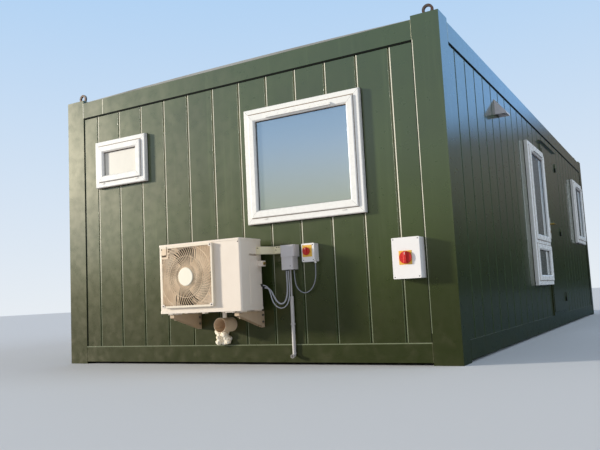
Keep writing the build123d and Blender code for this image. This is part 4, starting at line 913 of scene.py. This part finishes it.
def duct_and_coil():
    """The lining of the fan's duct, and the fins at the left side and the back."""
    duct, coil = Shape(), Shape()
    inner = DUCT_R - DUCT_SKIN
    outline = [(2, DUCT_R), (DUCT_END, DUCT_R), (DUCT_END, SHAFT_HOLE_R), (DUCT_END - 2, SHAFT_HOLE_R),
               (DUCT_END - 2, inner), (2, inner)]
    duct.turned((FAN_CENTRE[0], UNIT_FRONT, FAN_CENTRE[1]), (0, 1, 0), outline, 64)
    start, heights = COIL_MARGIN + 4, (UNIT_Z + COIL_MARGIN, UNIT_TOP - COIL_MARGIN)
    for y in (UNIT_FRONT + start + FIN_PITCH * k for k in range(SIDE_FINS)):
        coil.box(UNIT_X + 7, UNIT_X + COIL_DEPTH + 0.5, y, y + FIN_T, *heights)
    for x in (UNIT_X + start + FIN_PITCH * k for k in range(BACK_FINS)):
        coil.box(x, x + FIN_T, UNIT_BACK - COIL_DEPTH - 0.5, UNIT_BACK - 7, *heights)
    duct.piece("fan_duct_liner", DUCT, "unit_white")
    coil.piece("coil_fins", COIL, "unit_white")


def ports():
    """The valve's cap, and glands where the cables leave the unit and enter the elbow box."""
    caps, glands = Shape(), Shape()
    caps.lathe((2215, -118, 769), (1, 0, 0), VALVE_CAP, 6)
    for y, z, r in ((-95, 606, 4), (-68, 588, 6)):
        outline = [(0, r), (0, r + 6), (9, r + 6), (10, r + 3), (17, r + 2), (17, r)]
        glands.turned((PANEL_END - 1, y, z), (1, 0, 0), outline, 12)
    for x, y, r in ((2380, -36, 4), (2356, -24, 6), (2420, -20, 4)):
        outline = [(0, r), (0, r + 3.5), (5, r + 3), (7, r)]
        glands.turned((x, y, ELBOW_UNDERSIDE), (0, 0, -1), outline, 12)
    caps.piece("valve_cap", BRASS, "unit_white", bevel=1)
    glands.piece("cable_glands", GASKET, "cable_grey")


fine_ribs()
unit_fixings()
duct_and_coil()
ports()


# Brackets, trunking, boxes, knobs and cowl: bolts, screws, slots, marks and slats

BRACKET_BOLT = [(0, 10), (2, 10), (2.1, 8), (8, 8), (9, 6)]
BOX_SCREW_IN, BOX_SCREW_R = 12, 3.6
SMALL_BOX_H = 136
SLEEVE_PLAN = (((2168.5, -146), (2168.5, -92)), ((2212, -146), (2198, -92)),
               ((2262, -33.5), (2236, 5.5)), ((2264, -32.5), (2264, 5.5)))
SLEEVE_Z0, SLEEVE_Z1 = 840, 897
KNOB_RADII = {"small_isolator_knob": 29, "large_isolator_knob": 43}
SLATS, SLAT_PITCH = 4, 22
SLAT_OUTLINE = ((0, 4), (12, 16), (13.5, 15), (1.5, 3))


def wall_fixings():
    """The bolts, screws and slots of what hangs on the front wall."""
    bolts, screws, slots = Shape(), Shape(), Shape()
    for arm in spans_of("ac_brackets", wall="front"):
        for z in (arm.z1 - 32, arm.z1 - 84):
            for x, out in ((arm.x1, 1), (arm.x0, -1)):
                bolts.lathe((x - out, -18, z), (out, 0, 0), BRACKET_BOLT, 6)
    trunk, elbow = span("cable_trunking"), span("elbow_box")
    for x in (trunk.x0 + 12, trunk.x1 - 14):
        screws.screw(x, trunk.y0, trunk.z, 4)
    screws.screw(elbow.x0 + 80, elbow.y0 + 8, elbow.z0 + 26, 3.5)
    small, large = span("small_isolator"), span("large_isolator")
    for box, low in ((small, small.z1 - SMALL_BOX_H), (large, large.z0)):
        for x in (box.x0 + BOX_SCREW_IN, box.x1 - BOX_SCREW_IN):
            for z in (low + BOX_SCREW_IN, box.z1 - BOX_SCREW_IN):
                screws.screw(x, box.y0 + 2.4, z, BOX_SCREW_R)
    for x in (2276, 2296, 2316):
        slots.box(x, x + 12, trunk.y0 - 0.6, trunk.y0 + 1, trunk.z1 - 11, trunk.z1 - 7)
    slots.box(2176, 2190, -146.8, -145, 884, 888)
    bolts.piece("bracket_bolts", ZINC, "bracket_steel")
    screws.piece("box_screws", GASKET, "isolator_grey")
    slots.piece("trunking_slots", SHADOW, "cream_plastic")


def pipe_sleeve():
    """The sleeve over the pipes between the unit and the trunking."""
    sleeve = Shape()
    sleeve.rings([[(*outer, SLEEVE_Z0), (*outer, SLEEVE_Z1), (*inner, SLEEVE_Z1), (*inner, SLEEVE_Z0)]
                  for outer, inner in SLEEVE_PLAN])
    sleeve.piece("pipe_sleeve", CREAM, "cream_plastic", bevel=2)


def knob_marks():
    """The pale mark near the rim of each knob, which turns with it."""
    for name, radius in KNOB_RADII.items():
        knob, mark = span(name), Shape()
        mark.box(knob.x - 1.5, knob.x + 1.5, knob.y0 - 0.4, knob.y0 + 3,
                 knob.z + radius * 0.45, knob.z + radius * 0.8)
        mark.piece(f"{name}_mark", ISO_GREY, "knob_red", body=name.replace("_isolator", ""))


def cowl_slats():
    """Slats across the cowl's mouth."""
    cowl, slats = span("vent_cowl", "right"), Shape("right")
    for k in range(SLATS):
        y = cowl.y0 + 14 + SLAT_PITCH * k
        slats.rings([[(x, y + along, cowl.z0 + up) for along, up in SLAT_OUTLINE]
                     for x in (cowl.x0 + 3, cowl.x1 - 3)])
    slats.piece("cowl_slats", COWL, "vent_plastic")


pipe_sleeve()
knob_marks()
cowl_slats()
wall_fixings()


# Door: gasket, threshold, lock and screws

DOOR_FACE, DOOR_SILL = 40, 25
LOCK_RING = [(0, 8.5), (2.5, 8.5), (3, 7.5)]
PLATE_SCREW = [(0, 4.5), (1.5, 4), (2, 2)]
HINGE_FACE_Y, LEAF_SCREW_RISE = -13, 52


def door_details():
    """The door's small parts, on the frame and on the leaf."""
    leaf = span("door_leaf", "right")
    x0, x1 = doorway.x0 + DOOR_FACE, doorway.x1 - DOOR_FACE
    z0, z1 = doorway.z0 + DOOR_SILL, doorway.z1 - DOOR_FACE
    seal, strip, lock, screws, frame_screws = (Shape("right") for _ in range(5))
    seal.frame(x0 + 1, x1 - 1, z0, z1 - 1, 35.5, 41, 12)
    strip.box(x0, x1, doorway.y0 + 2, 34, z0, z0 + 1.5)
    for plate in spans_of("door_handle_plates", wall="right"):
        y, out = (plate.y0, -1) if plate.y0 < 0 else (plate.y1, 1)
        lock.lathe((plate.x, y - out, plate.z - 32), (0, out, 0), LOCK_RING, 20)
        lock.box(plate.x - 5, plate.x + 5, *sorted((y - out, y + out * 2.6)), plate.z - 58, plate.z - 34)
        for z in (plate.z0 + 14, plate.z1 - 14):
            screws.lathe((plate.x, y - out * 0.5, z), (0, out, 0), PLATE_SCREW, 10)
    for hinge in spans_of("door_hinges", wall="right"):
        for z in (hinge.z0 + 12, hinge.z0 + 38):
            frame_screws.screw(hinge.x1 - 12, HINGE_FACE_Y, z, 4)
            screws.screw(leaf.x1 - 30, HINGE_FACE_Y, z + LEAF_SCREW_RISE, 4)
    seal.piece("door_gasket", GASKET, "green_steel")
    strip.piece("door_threshold", SATIN, "handle_metal")
    lock.piece("door_lock", BRASS, "handle_metal", body="door")
    screws.piece("door_screws", SATIN, "handle_metal", body="door")
    frame_screws.piece("door_frame_screws", SATIN, "handle_metal")


door_details()


# Inside: skirtings, board joints and trims around the openings

WALL_IN = 80.5
BOARD_W = 1200
SKIRTING_H, SKIRTING_T, COVING_H = 70, 9, 40
TRIM_W, TRIM_T = 30, 5
STRIP_HALF, STRIP_CLEAR = 14, 70


def inside_details():
    """The finish of the room's walls."""
    trims, strips = Shape(), Shape()
    top, foot = span("ceiling_panel").z0, sheets["front"].z0
    for wall in WALLS:
        trims.on(wall)
        strips.on(wall)
        length = WALL_LENGTH[wall] - WALL_IN
        runs = [(WALL_IN, length)]
        if wall == "right":
            runs = [(WALL_IN, doorway.x0 - TRIM_W - 2), (doorway.x1 + TRIM_W + 2, length)]
            door_trims(trims, foot)
        for x0, x1 in runs:
            skin = (WALL_IN - 1, WALL_IN + SKIRTING_T)
            trims.box(x0, x1, *skin, foot + 0.5, foot + SKIRTING_H)
            trims.box(x0, x1, *skin, top - COVING_H, top + 1)
        for hole in (f for f in frames if f.wall == wall):
            trims.frame(*hole.edges(TRIM_W), WALL_IN - 1, WALL_IN + TRIM_T, TRIM_W + 2)
            trims.frame(*hole.edges(0.2), hole.y1 - 14, WALL_IN + 2, 2.5)
        count = round(length / BOARD_W)
        for k in range(1, count):
            x = WALL_IN + (length - WALL_IN) * k / count
            if any(o.wall == wall and o.x0 - STRIP_CLEAR < x < o.x1 + STRIP_CLEAR for o in openings):
                continue
            heights = (foot + SKIRTING_H, top - COVING_H)
            strips.box(x - STRIP_HALF, x + STRIP_HALF, WALL_IN - 1, WALL_IN + 3, *heights)
    trims.piece("inside_trims", UPVC, "wall_lining", bevel=1.5)
    strips.piece("board_joint_strips", UPVC, "wall_lining", bevel=1)


def door_trims(trims, foot):
    """The trim up both sides of the doorway and over it."""
    skin, head = (WALL_IN, WALL_IN + TRIM_T), doorway.z1 + TRIM_W
    trims.box(doorway.x0 - TRIM_W, doorway.x0 + 3, *skin, foot, head)
    trims.box(doorway.x1 - 3, doorway.x1 + TRIM_W, *skin, foot, head)
    trims.box(doorway.x0 + 3, doorway.x1 - 3, *skin, doorway.z1 - 3, head)


inside_details()


# Cables, each a list of points from the front left corner's edges, in metres

def cable(name, route, radius, finish):
    """A smooth cable from its exit to where it goes back into the object."""
    curve = bpy.data.curves.new(name, "CURVE")
    curve.dimensions = "3D"
    spline = curve.splines.new("NURBS")
    spline.points.add(len(route) - 1)
    points = [WALLS["front"] @ Vector(point) for point in route]
    for control, point in zip(spline.points, points):
        control.co = (*point, 1.0)
    spline.order_u = 3
    spline.use_endpoint_u = True
    spline.resolution_u = 10
    curve.bevel_depth = radius
    curve.bevel_resolution = 3
    curve.use_fill_caps = True
    curve.materials.append(finish)
    made = new_object(f"{name}_sheath", curve)
    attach(made, "cabin")
    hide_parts(name)


THIN_ROUTE = [
    (2.171, -0.095, 0.606), (2.200, -0.095, 0.606), (2.226, -0.090, 0.586), (2.238, -0.082, 0.550),
    (2.243, -0.074, 0.508), (2.254, -0.066, 0.468), (2.278, -0.058, 0.438), (2.314, -0.052, 0.424),
    (2.350, -0.046, 0.438), (2.372, -0.042, 0.474), (2.381, -0.038, 0.518), (2.383, -0.036, 0.566),
    (2.381, -0.036, 0.614), (2.380, -0.036, 0.662), (2.380, -0.036, 0.712),
]
THICK_ROUTE = [
    (2.168, -0.068, 0.588), (2.204, -0.068, 0.588), (2.236, -0.064, 0.562), (2.252, -0.056, 0.520),
    (2.272, -0.048, 0.478), (2.304, -0.040, 0.456), (2.336, -0.034, 0.470), (2.352, -0.028, 0.510),
    (2.357, -0.026, 0.556), (2.358, -0.024, 0.606), (2.356, -0.024, 0.658), (2.356, -0.024, 0.712),
]
ISOLATOR_ROUTE = [
    (2.609, -0.028, 0.748), (2.609, -0.028, 0.704), (2.605, -0.026, 0.642), (2.587, -0.024, 0.586),
    (2.551, -0.022, 0.545), (2.507, -0.022, 0.530), (2.464, -0.022, 0.546), (2.434, -0.022, 0.584),
    (2.421, -0.020, 0.646), (2.420, -0.020, 0.712),
]
cable("cable_thin", THIN_ROUTE, 4 * MM, CABLE)
cable("cable_thick", THICK_ROUTE, 6 * MM, CABLE)
cable("isolator_cable", ISOLATOR_ROUTE, 4 * MM, CABLE_DARK)


# Foam

LOBES, LOBES_IN_LAYER = 44, 15
LOBE_R, LOBE_R_SPREAD = 20, 14
LAYER_RISE = 38
VOXEL = 3.5
FOAM_GAP = 0.3
BULGES = ((60, 0.004), (150, 0.0015))


def foam_lobes(solid):
    """A mesh of overlapping lobes, in layers that thin out to the right."""
    lobes = bmesh.new()
    draw = random.Random(7)
    for i in range(LOBES):
        share = (i % LOBES_IN_LAYER) / (LOBES_IN_LAYER - 1)
        layer = i // LOBES_IN_LAYER
        radius = (LOBE_R + LOBE_R_SPREAD * draw.random()) * (1 if share < 0.75 else 0.75)
        x = solid.x0 + 24 + share * (solid.w - 50)
        z = solid.z0 + radius * 0.8 + (layer * LAYER_RISE + draw.random() * 14) * (1 - 0.25 * share)
        y = solid.y0 + 28 + draw.random() * 60
        turn = Matrix.Translation(at("front", x, y, z)) @ Matrix.Diagonal((1.15, 1.0, 0.85, 1))
        bmesh.ops.create_icosphere(lobes, subdivisions=3, radius=radius * MM, matrix=turn)
    data = bpy.data.meshes.new("foam_lobes")
    lobes.to_mesh(data)
    lobes.free()
    return data


def foam():
    """Expanding foam that has swelled out in lobes under the pipe stub."""
    stub, solid = span("pipe_stub"), span("pipe_foam")
    made = new_object("foam_swelling", foam_lobes(solid))
    join = made.modifiers.new("join", "REMESH")
    join.mode = "VOXEL"
    join.voxel_size = VOXEL * MM
    join.use_smooth_shade = True
    settle = made.modifiers.new("settle", "SMOOTH")
    settle.iterations = 3
    graph = bpy.context.evaluated_depsgraph_get()
    final = bpy.data.meshes.new_from_object(made.evaluated_get(graph))
    made.modifiers.clear()
    made.data = final
    axis = at("front", stub.x, 0, stub.z)
    reach = (stub.w / 2 + FOAM_GAP) * MM
    lowest = (solid.z0 + FOAM_GAP) * MM
    furthest_in = at("front", 0, SHEET_FACE - FOAM_GAP, 0).y
    for vertex in final.vertices:
        bulge = sum(noise.noise(vertex.co * scale) * depth for scale, depth in BULGES)
        vertex.co += vertex.normal * bulge
        flat = Vector((vertex.co.x - axis.x, 0, vertex.co.z - axis.z))
        if flat.length < reach:
            vertex.co += flat.normalized() * (reach - flat.length)
        vertex.co.z = max(vertex.co.z, lowest)
        vertex.co.y = min(vertex.co.y, furthest_in)
    final.materials.clear()
    final.materials.append(FOAM)
    final.shade_smooth()
    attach(made, "cabin")
    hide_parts("pipe_foam")


foam()


# Studio: pale floor and backdrop, a low warm key from the left, and a cool fill

KEY = {"power": 4.05, "colour": (1.0, 0.93, 0.82), "spread": 6.0, "azimuth": 65.0, "height": 13.0}
SIDE_FILL = {"power": 0.9, "colour": (0.62, 0.80, 1.0), "spread": 30.0, "azimuth": -108.0, "height": 28.0}
FILL, FILL_COLOUR = 0.52, (0.86, 0.90, 1.0, 1.0)
BACKDROP = 0.95

# Bands of the sky are between two values of one part of the direction; only gloss and glass see the flags
FLAG_HIGH = (0.15, 0.14, 0.13, 1.0)
FLAG_LOW = (0.012, 0.018, 0.014, 1.0)
FLAG_FADE = (0.0, 0.2)
BEHIND = (0.05, 0.35)
FLAG_BEHIND_TOP = (0.255, 0.20)
FLAG_BEFORE_TOP = (0.11, 0.0)
SKY = (0.84, 0.89, 0.94, 1.0)
SKY_HIGH = (0.36, 0.62, 0.95, 1.0)
SKY_RISE = (0.0, 0.55)
SKY_BEHIND = (0.36, 0.70, 1.25, 1.0)
SKY_BEFORE = (0.46, 0.52, 0.38, 1.0)
BEFORE, BEFORE_SIDE, BEFORE_TOP = (-0.3, -0.6), (-0.74, -0.52), (0.24, 0.10)
FLOOR_REACH = 60.0
FLOOR_TONE = rgb(206, 207, 207)
FLOOR_IN_GLOSS = (0.03, 0.034, 0.03, 1.0)


def flagged_sky(tree, in_gloss):
    """The pale backdrop, with dark flags low down for gloss and glass."""
    way = tree.parts(tree.add("ShaderNodeTexCoord").outputs["Generated"])
    behind = tree.band(way["Y"], *BEHIND)
    high_flag = tree.count("MULTIPLY", behind, tree.band(way["Z"], *FLAG_BEHIND_TOP))
    flags = tree.count("MAXIMUM", high_flag, tree.band(way["Z"], *FLAG_BEFORE_TOP))
    sky = tree.mix(tree.band(way["Z"], *SKY_RISE, kind="LINEAR"), SKY, SKY_HIGH)
    sky = tree.mix(tree.count("MULTIPLY", behind, in_gloss), sky, SKY_BEHIND)
    before = tree.count("MULTIPLY", tree.band(way["Y"], *BEFORE), tree.band(way["X"], *BEFORE_SIDE))
    before = tree.count("MULTIPLY", before, tree.band(way["Z"], *BEFORE_TOP))
    sky = tree.mix(tree.count("MULTIPLY", before, in_gloss), sky, SKY_BEFORE)
    dark = tree.mix(tree.band(way["Z"], *FLAG_FADE), FLAG_LOW, FLAG_HIGH)
    return tree.mix(tree.count("MULTIPLY", flags, in_gloss), sky, dark)


def studio_floor():
    """The pale floor, which gloss sees as dark ground."""
    data = bpy.data.meshes.new("studio_floor")
    corners = [(x * FLOOR_REACH, y * FLOOR_REACH, 0) for x, y in ((-1, -1), (1, -1), (1, 1), (-1, 1))]
    data.from_pydata(corners, [], [(0, 1, 2, 3)])
    floor = new_object("studio_floor", data)
    finish = Finish("studio_floor", FLOOR_TONE, 0.8)
    gloss = finish.add("ShaderNodeLightPath").outputs["Is Glossy Ray"]
    finish.colour(finish.mix(gloss, FLOOR_TONE, FLOOR_IN_GLOSS))
    data.materials.append(finish.material)


def studio_world():
    """An even cool light; the camera, gloss and glass see the backdrop instead."""
    world = bpy.data.worlds.new("studio")
    bpy.context.scene.world = world
    world.use_nodes = True
    world.node_tree.nodes.clear()
    tree = Nodes(world.node_tree)
    path = tree.add("ShaderNodeLightPath").outputs
    in_gloss = tree.count("MAXIMUM", path["Is Glossy Ray"], path["Is Transmission Ray"])
    blend = tree.add("ShaderNodeMixShader")
    tree.feed(blend.inputs[0], tree.count("MAXIMUM", path["Is Camera Ray"], in_gloss))
    for place, colour, strength in ((1, FILL_COLOUR, FILL), (2, flagged_sky(tree, in_gloss), BACKDROP)):
        background = tree.add("ShaderNodeBackground")
        tree.feed(background.inputs["Color"], colour)
        tree.feed(background.inputs["Strength"], strength)
        tree.feed(blend.inputs[place], background.outputs[0])
    tree.feed(tree.add("ShaderNodeOutputWorld").inputs[0], blend.outputs[0])


def distant_lamp(name, power, colour, spread, azimuth, height):
    """A distant lamp; azimuth is in degrees from the front, towards the left."""
    lamp = bpy.data.lights.new(name, "SUN")
    lamp.energy = power
    lamp.angle = math.radians(spread)
    lamp.color = colour
    side, up = math.radians(azimuth), math.radians(height)
    towards = Vector((-math.sin(side) * math.cos(up), -math.cos(side) * math.cos(up), math.sin(up)))
    new_object(name, lamp).rotation_euler = towards.to_track_quat("Z", "Y").to_euler()


studio_floor()
studio_world()
distant_lamp("key", **KEY)
distant_lamp("side_fill", **SIDE_FILL)


# Camera, fitted to the photograph's lines

CAMERA_PLACE = (4.86798, -4.53160, 0.50512)
CAMERA_YAW, CAMERA_PITCH, CAMERA_ROLL = 0.51191, 0.10573, -0.04987
CAMERA_LENS = 40.537


def camera():
    """The photograph's viewpoint."""
    data = bpy.data.cameras.new("view")
    data.sensor_fit = "HORIZONTAL"
    data.sensor_width = 36.0
    data.lens = CAMERA_LENS
    data.clip_start = 0.05
    data.clip_end = 200.0
    made = new_object("view", data)
    turn = (Matrix.Rotation(CAMERA_YAW, 4, "Z") @ Matrix.Rotation(math.pi / 2 + CAMERA_PITCH, 4, "X")
            @ Matrix.Rotation(CAMERA_ROLL, 4, "Z"))
    made.matrix_world = Matrix.Translation(CAMERA_PLACE) @ turn
    bpy.context.scene.camera = made


camera()
bpy.context.scene.view_settings.view_transform = "Standard"
